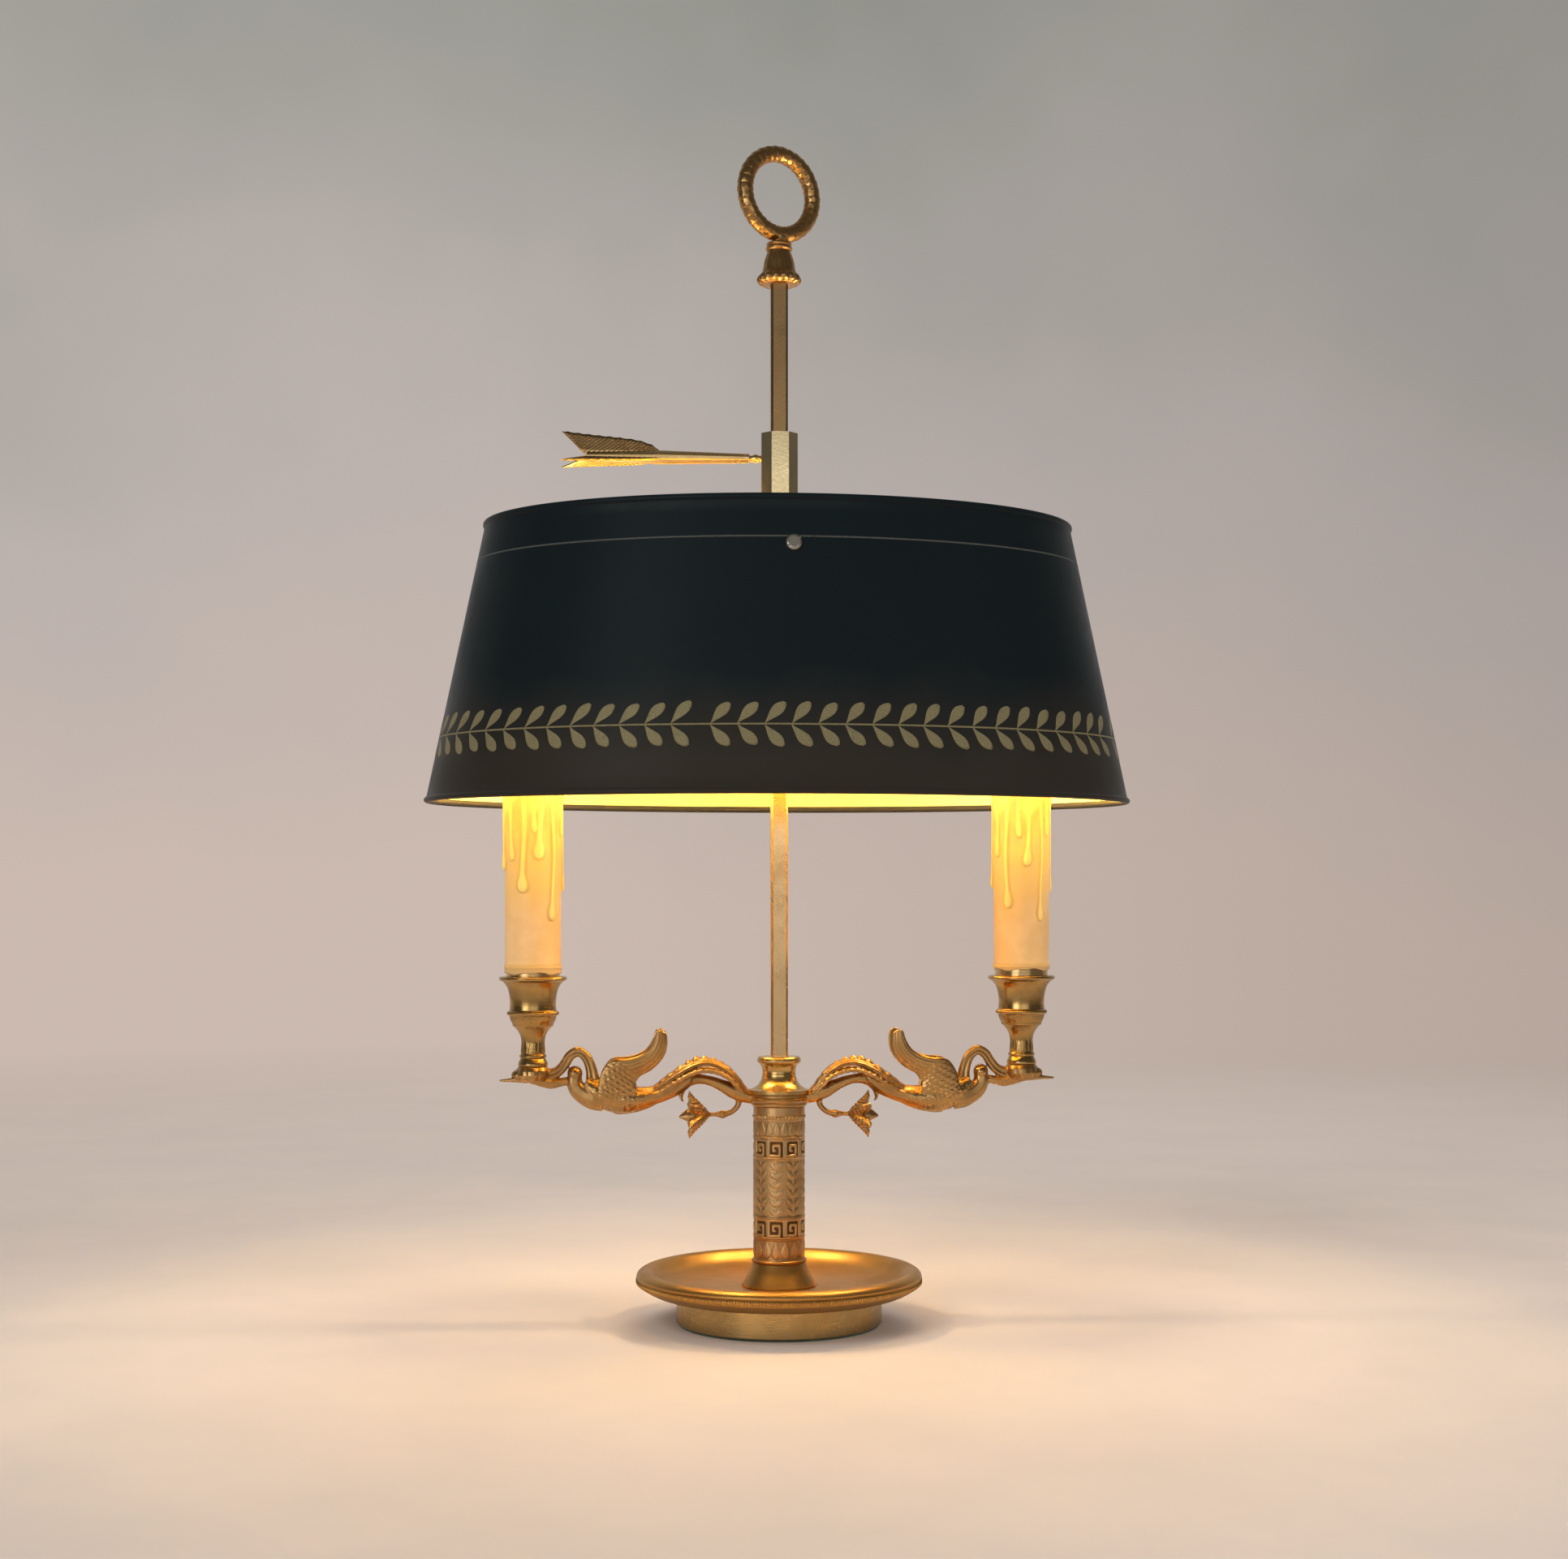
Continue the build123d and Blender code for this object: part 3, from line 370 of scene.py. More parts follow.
def buildSmudges():
    # finger marks and settled dust: a mask that is stronger on faces that look up
    group, source, sink = newGroup("smudges", {"Scale": 30.0, "Settled": 0.5}, ("Mask",))
    cloud = rangeNode(group, noiseNode(group, placeOf(group), source["Scale"], 6.0, 0.7), 0.45, 0.72)
    normal = axesOf(group, addNode(group, "NewGeometry").outputs["Normal"])
    up = times(group, normal[2], source["Settled"], clamp=True)
    feed(group, sink["Mask"], times(group, cloud, plus(group, up, 0.35)))
    return group


tarnishGroup = buildTarnish()
reliefGroup = buildRelief()
turningGroup = buildTurning()
smudgeGroup = buildSmudges()


# Metals

metalFields = ("bright", "dull", "scale", "tarnish", "roughness", "drift", "bump")
metalLooks = {
    # the seven fields above, then what only some metals have; the cut is in millimetres from the axis
    "castBrass": ((0.62, 0.37, 0.14), (0.36, 0.20, 0.075), 60.0, 0.6, 0.24, 0.16, 0.12, {
        "relief": 9.0, "hollowsAndShade": (0.075, 0.036, 0.012), "rubbed": (0.93, 0.66, 0.32)}),
    "chasedBrass": ((0.66, 0.42, 0.19), (0.44, 0.26, 0.11), 80.0, 0.6, 0.25, 0.14, 0.14, {
        "relief": 6.0, "rings": 900.0, "hollowsAndShade": (0.07, 0.038, 0.015), "rubbed": (0.92, 0.74, 0.44),
        "cutFrom": 12.80, "cutTo": 12.2}),
    "polishedBrass": ((0.76, 0.50, 0.18), (0.46, 0.27, 0.09), 45.0, 0.4, 0.13, 0.12, 0.06, {"rings": 1400.0}),
    "cupBrass": ((0.60, 0.38, 0.14), (0.33, 0.19, 0.06), 55.0, 0.5, 0.13, 0.12, 0.07, {
        "rings": 1400.0, "axisX": 0.123, "relief": 5.0,
        "hollowsAndShade": (0.09, 0.045, 0.014), "rubbed": (0.92, 0.68, 0.34)}),
    "satinBrass": ((0.70, 0.385, 0.11), (0.48, 0.25, 0.065), 35.0, 0.4, 0.33, 0.08, 0.07, {"rings": 1100.0}),
    "footBrass": ((0.58, 0.40, 0.17), (0.34, 0.225, 0.09), 40.0, 0.4, 0.22, 0.08, 0.06, {"rings": 1300.0}),
    # the bar's upper part is darkened as painted shade
    "barBrass": ((0.88, 0.61, 0.31), (0.54, 0.36, 0.17), 70.0, 0.5, 0.20, 0.10, 0.05, {
        "hollowsAndShade": (0.44, 0.28, 0.13), "paintedShadeFrom": 0.40, "paintedShadeTo": 0.45}),
    "keyBrass": ((0.96, 0.68, 0.32), (0.66, 0.42, 0.17), 70.0, 0.4, 0.17, 0.10, 0.04, {}),
    "agedBrass": ((0.58, 0.34, 0.13), (0.36, 0.20, 0.075), 60.0, 0.6, 0.24, 0.14, 0.10, {
        "relief": 7.0, "hollowsAndShade": (0.09, 0.045, 0.015), "rubbed": (0.90, 0.60, 0.30)}),
    "shadedVaneBrass": ((0.34, 0.22, 0.10), (0.20, 0.125, 0.05), 110.0, 0.6, 0.30, 0.12, 0.10, {}),
    "collarBrass": ((0.94, 0.78, 0.46), (0.72, 0.52, 0.26), 45.0, 0.3, 0.11, 0.10, 0.05, {}),
    "platedSteel": ((0.55, 0.55, 0.53), (0.30, 0.29, 0.27), 90.0, 0.5, 0.30, 0.2, 0.10, {}),
    "nickelScrew": ((0.66, 0.63, 0.55), (0.34, 0.31, 0.25), 160.0, 0.6, 0.26, 0.2, 0.10, {}),
    "bulbThread": ((0.75, 0.74, 0.70), (0.45, 0.43, 0.38), 120.0, 0.4, 0.25, 0.15, 0.08, {
        "rings": 700.0, "axisX": 0.123}),
}


def makeMetal(name, look):
    material, tree, shader = newMaterial(name)
    tarnish = placeGroup(tree, tarnishGroup, {
        "Bright": look["bright"], "Dull": look["dull"], "Scale": look["scale"], "Amount": look["tarnish"],
        "Roughness": look["roughness"], "Roughness Drift": look["drift"],
    })
    color, roughness, height = tarnish["Color"], tarnish["Roughness"], tarnish["Height"]
    if "relief" in look:
        relief = placeGroup(tree, reliefGroup, {"Sharpness": look["relief"]})
        color = mixColors(tree, relief["Deep"], color, look["hollowsAndShade"])
        color = mixColors(tree, times(tree, relief["Raised"], 0.6), color, look["rubbed"])
        roughness = plus(tree, roughness, times(tree, relief["Deep"], 0.25))
    if "rings" in look:
        turning = placeGroup(tree, turningGroup, {"Axis X": look.get("axisX", 0.0), "Rings": look["rings"]})
        height = plus(tree, height, turning["Height"])
        roughness = plus(tree, roughness, times(tree, turning["Mask"], 0.07))
    if "cutFrom" in look:
        # dirt in the cut ornament, by its distance from the axis
        cut = rangeNode(tree, turning["Distance"], look["cutFrom"] * mm, look["cutTo"] * mm)
        color = mixColors(tree, times(tree, cut, 0.86), color, look["hollowsAndShade"])
        roughness = plus(tree, roughness, times(tree, cut, 0.3))
    if "paintedShadeFrom" in look:
        # painted shade: darker higher up, by height
        high = rangeNode(tree, axesOf(tree, placeOf(tree))[2], look["paintedShadeFrom"], look["paintedShadeTo"])
        color = mixColors(tree, high, color, look["hollowsAndShade"])
    smudges = placeGroup(tree, smudgeGroup, {"Scale": look["scale"] * 0.6, "Settled": 0.6})
    roughness = plus(tree, roughness, times(tree, smudges["Mask"], 0.10))
    applyLook(tree, shader, {"Metallic": 1.0, "Base Color": color, "Roughness": roughness},
              height, look["bump"])
    return material


metals = {name: makeMetal(name, dict(zip(metalFields, row)) | row[-1]) for name, row in metalLooks.items()}


# Other finishes

def makeFelt():
    look = {"dark": (0.028, 0.045, 0.028), "light": (0.07, 0.10, 0.065), "fibre": 2600.0, "pill": 220.0}
    material, tree, shader = newMaterial("greenFelt")
    place = placeOf(tree)
    fibres = noiseNode(tree, place, look["fibre"], 4.0, 0.75)
    fuzz = times(tree, plus(tree, fibres, noiseNode(tree, place, look["pill"])), 0.5)
    color = mixColors(tree, rangeNode(tree, fuzz, 0.35, 0.65), look["dark"], look["light"])
    applyLook(tree, shader, {"Base Color": color, "Roughness": 0.95, "Sheen Weight": 0.4}, fibres, 0.5)
    return material


def makeMoulding():
    # moulded plastic with a faint spark-eroded grain
    look = {"dark": (0.022, 0.018, 0.015), "light": (0.04, 0.034, 0.028), "grain": 1800.0, "drift": 60.0}
    material, tree, shader = newMaterial("darkMoulding")
    place = placeOf(tree)
    grain = noiseNode(tree, place, look["grain"], 2.0)
    drift = rangeNode(tree, noiseNode(tree, place, look["drift"], 4.0), 0.35, 0.65)
    applyLook(tree, shader, {
        "Base Color": mixColors(tree, drift, look["dark"], look["light"]),
        "Roughness": rangeNode(tree, grain, 0.3, 0.7, 0.35, 0.55),
    }, grain, 0.15, 0.0002)
    return material


def makeWax():
    # candle sleeve: ivory below; near the top a warmer painted colour and a painted glow stand in for the
    # bulb's light shining through
    look = {
        "ivory": (0.85, 0.56, 0.27), "shaded": (0.74, 0.45, 0.20), "paintedWarmTop": (0.96, 0.66, 0.16),
        "glow": (1.0, 0.66, 0.08), "dripHighlight": (0.97, 0.74, 0.22), "glowFrom": 0.200, "glowTo": 0.268,
        "strength": 0.7, "reach": 0.123, "wall": 13.99, "proud": 14.9, "flank": (0.50, 0.25, 0.06),
        "flankShadeAmount": 2.2, "dripFrom": 0.190, "dripTo": 0.235, "clouds": 70.0, "pores": 420.0,
    }
    material, tree, shader = newMaterial("candleWax")
    place = placeOf(tree)
    height = axesOf(tree, place)[2]
    clouds = noiseNode(tree, place, look["clouds"], 5.0, 0.6)
    base = mixColors(tree, rangeNode(tree, clouds, 0.35, 0.7), look["ivory"], look["shaded"])
    # painted light: the colour grows warmer and glows more towards the top
    rise = rangeNode(tree, height, look["glowFrom"], look["glowTo"])
    paintedGlowRise = plus(tree, rise, rangeNode(tree, clouds, 0.3, 0.7, -0.12, 0.12), clamp=True)
    base = mixColors(tree, paintedGlowRise, base, look["paintedWarmTop"])
    # painted highlight: the runs of wax are thicker, so they take a lighter painted colour than the tube
    # behind them
    turning = placeGroup(tree, turningGroup, {"Axis X": look["reach"]})
    run = rangeNode(tree, turning["Distance"], look["wall"] * mm, look["proud"] * mm)
    lit = times(tree, run, rangeNode(tree, height, look["dripFrom"], look["dripTo"], 0.35, 0.9))
    base = mixColors(tree, lit, base, look["dripHighlight"])
    # painted shade: a darker line where a run's flank meets the tube
    flank = times(tree, times(tree, run, mathNode(tree, "SUBTRACT", 1.0, run)), look["flankShadeAmount"])
    # painted glow near the top and on the runs of wax
    shine = plus(tree, mathNode(tree, "POWER", paintedGlowRise, 2.2), times(tree, lit, 0.22))
    applyLook(tree, shader, {
        "Base Color": mixColors(tree, flank, base, look["flank"]),
        "Emission Color": mixColors(tree, shine, (0.0, 0.0, 0.0), look["glow"]),
        "Emission Strength": look["strength"],
        "Roughness": rangeNode(tree, clouds, 0.3, 0.7, 0.34, 0.5),
        "Subsurface Weight": 0.15, "Subsurface Radius": (0.006, 0.003, 0.0015), "Subsurface Scale": 1.0,
    }, noiseNode(tree, place, look["pores"], 4.0), 0.10, 0.0005)
    return material


def makeFlameGlass():
    # frosted flame lamp, brightest where the filament stands
    look = {"frost": (1.0, 0.86, 0.58), "thin": (0.92, 0.78, 0.5), "core": (1.0, 0.72, 0.30),
            "edge": (0.95, 0.45, 0.10), "filament": 0.298, "reach": 0.034, "strength": 5.0, "grain": 900.0}
    material, tree, shader = newMaterial("flameGlass")
    place = placeOf(tree)
    away = mathNode(tree, "ABSOLUTE", mathNode(tree, "SUBTRACT", axesOf(tree, place)[2], look["filament"]))
    near = rangeNode(tree, away, look["reach"], 0.0)
    frost = noiseNode(tree, place, look["grain"])
    applyLook(tree, shader, {
        "Emission Color": mixColors(tree, near, look["edge"], look["core"]),
        "Emission Strength": look["strength"],
        "Base Color": mixColors(tree, frost, look["frost"], look["thin"]),
        "Roughness": rangeNode(tree, frost, 0.3, 0.7, 0.22, 0.38), "Coat Weight": 0.3,
    })
    return material


def makeEnamel():
    # stove-dried blue-green black outside; lighter and browner towards the foot of the shade as painted warm
    # light
    look = {"upper": (0.0045, 0.0100, 0.0120), "middle": (0.0036, 0.0078, 0.0108),
            "lower": (0.025, 0.021, 0.016), "low": 0.262, "high": 0.3985,
            "patches": 14.0, "clouds": 18.0, "marks": 16.0, "peel": 260.0}
    material, tree, shader = newMaterial("darkEnamel")
    tarnish = placeGroup(tree, tarnishGroup, {
        "Bright": look["upper"], "Dull": look["middle"], "Scale": look["patches"], "Amount": 0.8,
        "Roughness": 0.34, "Roughness Drift": 0.10,
    })
    place = placeOf(tree)
    clouds = noiseNode(tree, place, look["clouds"], 4.0)
    level = plus(tree, rangeNode(tree, axesOf(tree, place)[2], look["low"], look["high"]),
                 rangeNode(tree, clouds, 0.3, 0.7, -0.07, 0.07))
    smudges = placeGroup(tree, smudgeGroup, {"Scale": look["marks"], "Settled": 0.3})
    applyLook(tree, shader, {
        "Base Color": mixColors(tree, rangeNode(tree, level, 0.42, 0.10), tarnish["Color"], look["lower"]),
        "Roughness": plus(tree, tarnish["Roughness"], times(tree, smudges["Mask"], 0.25)),
        "Specular IOR Level": 0.2,
    }, noiseNode(tree, place, look["peel"], 2.0), 0.05)
    return material


def makeCream():
    look = {"clean": (0.92, 0.76, 0.17), "toasted": (0.87, 0.64, 0.12), "patches": 18.0}
    material, tree, shader = newMaterial("creamLining")
    tarnish = placeGroup(tree, tarnishGroup, {
        "Bright": look["clean"], "Dull": look["toasted"], "Scale": look["patches"], "Amount": 0.6,
        "Roughness": 0.42, "Roughness Drift": 0.12,
    })
    applyLook(tree, shader, {"Base Color": tarnish["Color"], "Roughness": tarnish["Roughness"]},
              tarnish["Height"], 0.06)
    return material


def makeGilding(name, bright, dull, gaps):
    # bronze powder paint: matt, thin in places so the dark ground shows through
    look = {"ground": (0.02, 0.022, 0.018), "grain": 1500.0, "thin": 130.0}
    material, tree, shader = newMaterial(name)
    place = placeOf(tree)
    grain = noiseNode(tree, place, look["grain"], 3.0, 0.7)
    color = mixColors(tree, rangeNode(tree, grain, 0.35, 0.65), bright, dull)
    worn = rangeNode(tree, noiseNode(tree, place, look["thin"], 5.0, 0.7), 0.60, 0.78, 0.0, gaps)
    applyLook(tree, shader, {
        "Base Color": mixColors(tree, worn, color, look["ground"]), "Metallic": 0.25,
        "Roughness": rangeNode(tree, grain, 0.3, 0.7, 0.42, 0.62),
    }, grain, 0.2, 0.0002)
    return material


feltCloth = makeFelt()
darkMoulding = makeMoulding()
candleWax = makeWax()
flameGlass = makeFlameGlass()
darkEnamel = makeEnamel()
creamLining = makeCream()
laurelGilding = makeGilding("laurelGilding", (0.235, 0.205, 0.105), (0.165, 0.145, 0.075), 0.7)
lineGilding = makeGilding("lineGilding", (0.085, 0.095, 0.085), (0.05, 0.058, 0.055), 0.6)
print("materials made")


# Stage, world and lamps

stageLook = {
    "floorNear": (0.63, 0.545, 0.49), "floorMottle": (0.58, 0.51, 0.465), "horizon": (0.60, 0.49, 0.43),
    "middle": (0.50, 0.445, 0.42), "top": (0.30, 0.305, 0.275), "middleAt": 0.42, "topAt": 0.42,
    "openFrom": 0.55, "openTo": 2.2, "radius": 9.0,     # where the table fades into the backdrop, metres
    "fall": (-0.05, 0.45, 1.0, 0.76),                   # backdrop: direction x from, to, strength from, to
    "worldColor": (1.0, 0.97, 0.94), "worldStrength": 0.47,
    # what metal sees: the backdrop behind, dim walls, a low wide window in front, a strip at its left
    "roomColor": (0.62, 0.60, 0.58), "roomDim": 0.13, "roomBack": 0.75,
    "window": 1.6, "windowAhead": (-0.84, -0.96), "windowTop": (0.225, 0.165),
    "strip": 6.0, "stripTo": (-0.60, -0.80), "stripEdge": (0.955, 0.99), "stripTop": (0.33, 0.22),
    "floorDim": 0.25, "dimBetween": (0.2, 1.8), "tableDim": 0.28,
}
areaLights = {
    # place, size, power, color; all look at the shade's foot
    "softKey": ((-1.3, -1.5, 1.6), (1.0, 1.4), 26.0, (1.0, 0.97, 0.93)),
    "softFill": ((1.6, -1.1, 1.0), (0.8, 1.4), 12.0, (1.0, 0.95, 0.90)),
    "softBack": ((0.5, 1.6, 1.8), (1.4, 1.0), 16.0, (0.96, 0.97, 1.0)),
}
lightTarget = (0, 0, 0.3)
bulbLight = {"height": 0.316, "reach": 0.123, "power": 1.65, "radius": 0.008, "color": (1.0, 0.76, 0.44)}


def skyColors(tree, height):
    ramp = addNode(tree, "ValToRGB", {0: height})
    stops = ramp.color_ramp.elements
    stops[0].position, stops[0].color = 0.0, (*stageLook["horizon"], 1)
    stops[1].position, stops[1].color = 1.0, (*stageLook["top"], 1)
    stops.new(stageLook["middleAt"]).color = (*stageLook["middle"], 1)
    return ramp.outputs[0]


def makeWorld():
    look = stageLook
    world = bpy.data.worlds.new("studio")
    bpy.context.scene.world = world
    tree = clearTree(world)
    direction = addNode(tree, "TexCoord").outputs["Generated"]
    x, y, z = axesOf(tree, direction)
    clouds = noiseNode(tree, direction, 3.2, 4.0, 0.6)
    level = plus(tree, z, rangeNode(tree, clouds, 0.3, 0.7, -0.06, 0.06))
    shown = addNode(tree, "Background", {
        "Color": skyColors(tree, rangeNode(tree, level, 0.0, look["topAt"])),
        "Strength": rangeNode(tree, x, *look["fall"]),
    })
    lighting = addNode(tree, "Background", {"Color": look["worldColor"], "Strength": look["worldStrength"]})
    behind = rangeNode(tree, y, 0.1, 0.95, look["roomDim"], look["roomBack"])
    ahead = rangeNode(tree, y, *look["windowAhead"])
    window = times(tree, times(tree, ahead, rangeNode(tree, z, *look["windowTop"])), look["window"])
    # a tall narrow strip to the left of the camera draws the upright streak on turned metal
    toLeft = plus(tree, times(tree, x, look["stripTo"][0]), times(tree, y, look["stripTo"][1]))
    strip = times(tree, rangeNode(tree, toLeft, *look["stripEdge"]), rangeNode(tree, z, *look["stripTop"]))
    lights = plus(tree, plus(tree, behind, window), times(tree, strip, look["strip"]))
    mirrored = addNode(tree, "Background", {
        "Color": look["roomColor"],
        "Strength": times(tree, lights, rangeNode(tree, clouds, 0.3, 0.7, 0.75, 1.25)),
    })
    path = addNode(tree, "LightPath").outputs
    seen = plus(tree, path["Is Camera Ray"], path["Is Transmission Ray"], clamp=True)
    mix = mixShaders(tree, path["Is Glossy Ray"], mixShaders(tree, seen, lighting, shown), mirrored)
    addNode(tree, "OutputWorld", {0: mix.outputs[0]})


def makeFloor():
    # a lit table top near the lamp that fades into the backdrop's own colour far away
    look = stageLook
    material = bpy.data.materials.new("paleFloor")
    tree = clearTree(material)
    place = placeOf(tree)
    inMetal = addNode(tree, "LightPath").outputs["Is Glossy Ray"]
    mottle = rangeNode(tree, noiseNode(tree, place, 9.0, 5.0, 0.6), 0.3, 0.7)
    table = mixColors(tree, mottle, look["floorNear"], look["floorMottle"])
    table = mixColors(tree, times(tree, inMetal, look["tableDim"]), table, (0, 0, 0))
    near = addNode(tree, "BsdfDiffuse", {"Color": table})
    # metal sees a dimmer floor beside and in front of the lamp
    dimmed = rangeNode(tree, axesOf(tree, place)[1], *look["dimBetween"], look["floorDim"], 1.0)
    # the far floor falls off to the right like the backdrop it meets
    fromView = addNode(tree, "VectorMath", {0: place, 1: cameraSetup["place"]}, operation="SUBTRACT")
    heading = addNode(tree, "VectorMath", {0: fromView.outputs[0]}, operation="NORMALIZE")
    fading = rangeNode(tree, axesOf(tree, heading.outputs[0])[0], *look["fall"])
    glow = addNode(tree, "Emission", {
        "Color": look["horizon"], "Strength": rangeNode(tree, inMetal, 0.0, 1.0, fading, dimmed),
    })
    length = addNode(tree, "VectorMath", {0: place}, operation="LENGTH").outputs["Value"]
    mix = mixShaders(tree, rangeNode(tree, length, look["openFrom"], look["openTo"]), near, glow)
    addNode(tree, "OutputMaterial", {0: mix.outputs[0]})
    rings, segments = (0.4, 1.0, 2.5, look["radius"]), 72
    points = [(r * math.cos(a), r * math.sin(a), 0) for r in rings for a in turnSteps(segments)] + [(0, 0, 0)]
    faces = gridFaces(len(rings), segments)
    faces += [[len(rings) * segments, k, (k + 1) % segments] for k in range(segments)]
    addObject("floorSheet", newMesh("floorSheet", (points, faces), [material]))


def addLight(name, kind, place, power, color, **settings):
    data = bpy.data.lights.new(name, kind)
    data.energy, data.color = power, color
    for key, value in settings.items():
        setattr(data, key, value)
    return addObject(name, data, place)


makeWorld()
makeFloor()
for name, (place, size, power, color) in areaLights.items():
    light = addLight(name, "AREA", place, power, color, shape="RECTANGLE", size=size[0], size_y=size[1])
    light.rotation_euler = (Vector(lightTarget) - Vector(place)).to_track_quat("-Z", "Y").to_euler()
    light.visible_glossy = False     # the world gives the metal its reflections
for sign in (-1, 1):
    addLight(f"bulbGlow{sign}", "POINT", (sign * bulbLight["reach"], 0, bulbLight["height"]),
             bulbLight["power"], bulbLight["color"], shadow_soft_size=bulbLight["radius"])
print("stage and lamps set")


# Shade: tin wall, rolled edges, cream lining

shadeSize = {
    "bottom": 262.0, "top": 398.5, "bottomX": 175.8, "bottomY": 113.8, "topX": 146.6, "topY": 95.2,
    "wall": 0.8, "bead": 1.45, "rolled": 1.9, "segments": 384,
}


def shadeAxes(height):
    s = shadeSize
    share = (height - s["bottom"]) / (s["top"] - s["bottom"])
    return [s["bottom" + axis] + (s["top" + axis] - s["bottom" + axis]) * share for axis in "XY"]


def ovalShell(profile):
    # a closed band round the shade: profile is how far it stands out from the tin, and height
    s = shadeSize
    angle = turnSteps(s["segments"])
    rows = []
    for outward, height in profile:
        halfX, halfY = shadeAxes(min(max(height, s["bottom"]), s["top"]))
        rows.append(np.stack([(halfX + outward) * np.cos(angle), (halfY + outward) * np.sin(angle),
                              np.full(len(angle), height)], axis=-1))
    return np.concatenate(rows).tolist(), gridFaces(len(profile), len(angle), True)


def makeShade():
    s = shadeSize
    levels = np.linspace(s["bottom"] + s["rolled"], s["top"] - s["rolled"], 26)
    profile = arcBetween((-s["wall"] / 2, s["bottom"]), s["bead"], -240, 60, 20) + [(0.0, z) for z in levels]
    profile += arcBetween((-s["wall"] / 2, s["top"]), s["bead"], -60, 240, 20)
    profile += [(-s["wall"], z) for z in levels[::-1]]

    def pick(centre, normal):
        outward = normal.x * centre[0] + normal.y * centre[1]
        onEdge = min(abs(centre[2] - s["bottom"]), abs(centre[2] - s["top"])) < 2
        return 0 if outward > 0 or onEdge else 1

    makePiece("tinShade", ovalShell(profile), [darkEnamel, creamLining], ("shade_shell",),
              "shade_carriage", pick)


makeShade()


# Painted laurel band and the thin line under the top edge

laurelLook = {
    "height": 292.4, "leaf": 14.4, "width": 3.15, "lean": 50.0, "pitch": 12.3, "stem": 0.42,
    "thickness": 0.09, "sunk": -0.2, "gapAt": -41.65, "gaps": 4, "gapWidth": 6.0,
    "lineHeight": 379.6, "lineWidth": 0.42, "lineThickness": 0.06,
}


def ovalTable(height, count=2000):
    halfX, halfY = shadeAxes(height)
    angle = np.linspace(0, fullTurn, count + 1)
    points = np.stack([halfX * np.cos(angle), halfY * np.sin(angle)], axis=-1)
    return angle, np.concatenate([[0], np.cumsum(np.linalg.norm(np.diff(points, axis=0), axis=1))])


laurelAngles, laurelLengths = ovalTable(laurelLook["height"])


def onShade(along, height, lift):
    # along is measured round the shade at the band's level, in millimetres from the front middle
    startLength = np.interp(1.5 * math.pi, laurelAngles, laurelLengths)
    angle = np.interp((startLength + along) % laurelLengths[-1], laurelLengths, laurelAngles)
    halfX, halfY = shadeAxes(height)
    out = Vector((math.cos(angle) / halfX, math.sin(angle) / halfY, 0)).normalized()
    return halfX * math.cos(angle) + out.x * lift, halfY * math.sin(angle) + out.y * lift, height


def paintedPatch(outline, lift, sink):
    # a low closed relief over an outline of along, height
    count = len(outline)
    centre = np.mean(outline, axis=0)
    inner = [centre + (np.array(q) - centre) * 0.8 for q in outline]
    points = [onShade(*q, sink) for q in outline] + [onShade(*q, lift) for q in outline]
    points += [onShade(*q, lift) for q in inner] + [onShade(*centre, lift), onShade(*centre, sink)]
    faces = []
    for k in range(count):
        n = (k + 1) % count
        faces += [[k, n, count + n, count + k], [count + k, count + n, 2 * count + n, 2 * count + k]]
        faces += [[2 * count + k, 2 * count + n, 3 * count], [n, k, 3 * count + 1]]
    return points, faces


def leafOutline(start, height, side, length, lean):
    # obovate leaf with a short stalk, sweeping to the right of its stem
    outline = []
    a = math.radians(lean)
    for k in range(26):
        edge, share = (1, min(1.0, 2 * k / 25)) if k < 13 else (-1, min(1.0, 2 * (25 - k) / 25))
        half = laurelLook["width"] * math.sin(math.pi * share ** 1.55) ** 0.8 + 0.16 * (1 - share)
        along, across = length * share, half * edge + 1.3 * math.sin(math.pi * share * 0.5)
        outline.append((start + along * math.cos(a) - across * math.sin(a) * 0.9 + 0.8 * share,
                        height + side * (along * math.sin(a) * 0.86 + across * math.cos(a) * 0.75)))
    return outline if side > 0 else outline[::-1]


def makeLaurel():
    look = laurelLook
    chance = random.Random(7)
    usable = laurelLengths[-1] - look["gaps"] * look["gapWidth"]
    pairs = round(usable / look["pitch"])
    shapes = []
    for k in range(pairs):
        group = int(k / (pairs / look["gaps"]))
        start = look["gapAt"] + look["gapWidth"] / 2 + k * usable / pairs + group * look["gapWidth"]
        for side in (1, -1):
            shift = chance.uniform(-0.35, 0.35)
            length = look["leaf"] * chance.uniform(0.95, 1.04)
            outline = leafOutline(start + shift, look["height"] + 0.25 * side, side, length,
                                  look["lean"] + chance.uniform(-2.0, 2.0))
            shapes.append(paintedPatch(outline, look["thickness"], look["sunk"]))
    makePiece("laurelBand", joinShapes(shapes), [laurelGilding], body="shade_carriage")


def makeLine(name, material, *labels):
    height, half, lift = [laurelLook[label] for label in labels]
    low, high, sunk = height - half, height + half, laurelLook["sunk"]
    band = ovalShell([(sunk, low), (lift, low), (lift, high), (sunk, high)])
    makePiece(name, band, [material], body="shade_carriage")


makeLaurel()
makeLine("laurelStem", laurelGilding, "height", "stem", "thickness")
makeLine("topLine", lineGilding, "lineHeight", "lineWidth", "lineThickness")
print("shade made")


# Dish with its milled edge

panSize = {"bore": 8.6, "under": 14.2, "floor": 19.0, "teeth": 312, "bite": 0.75}


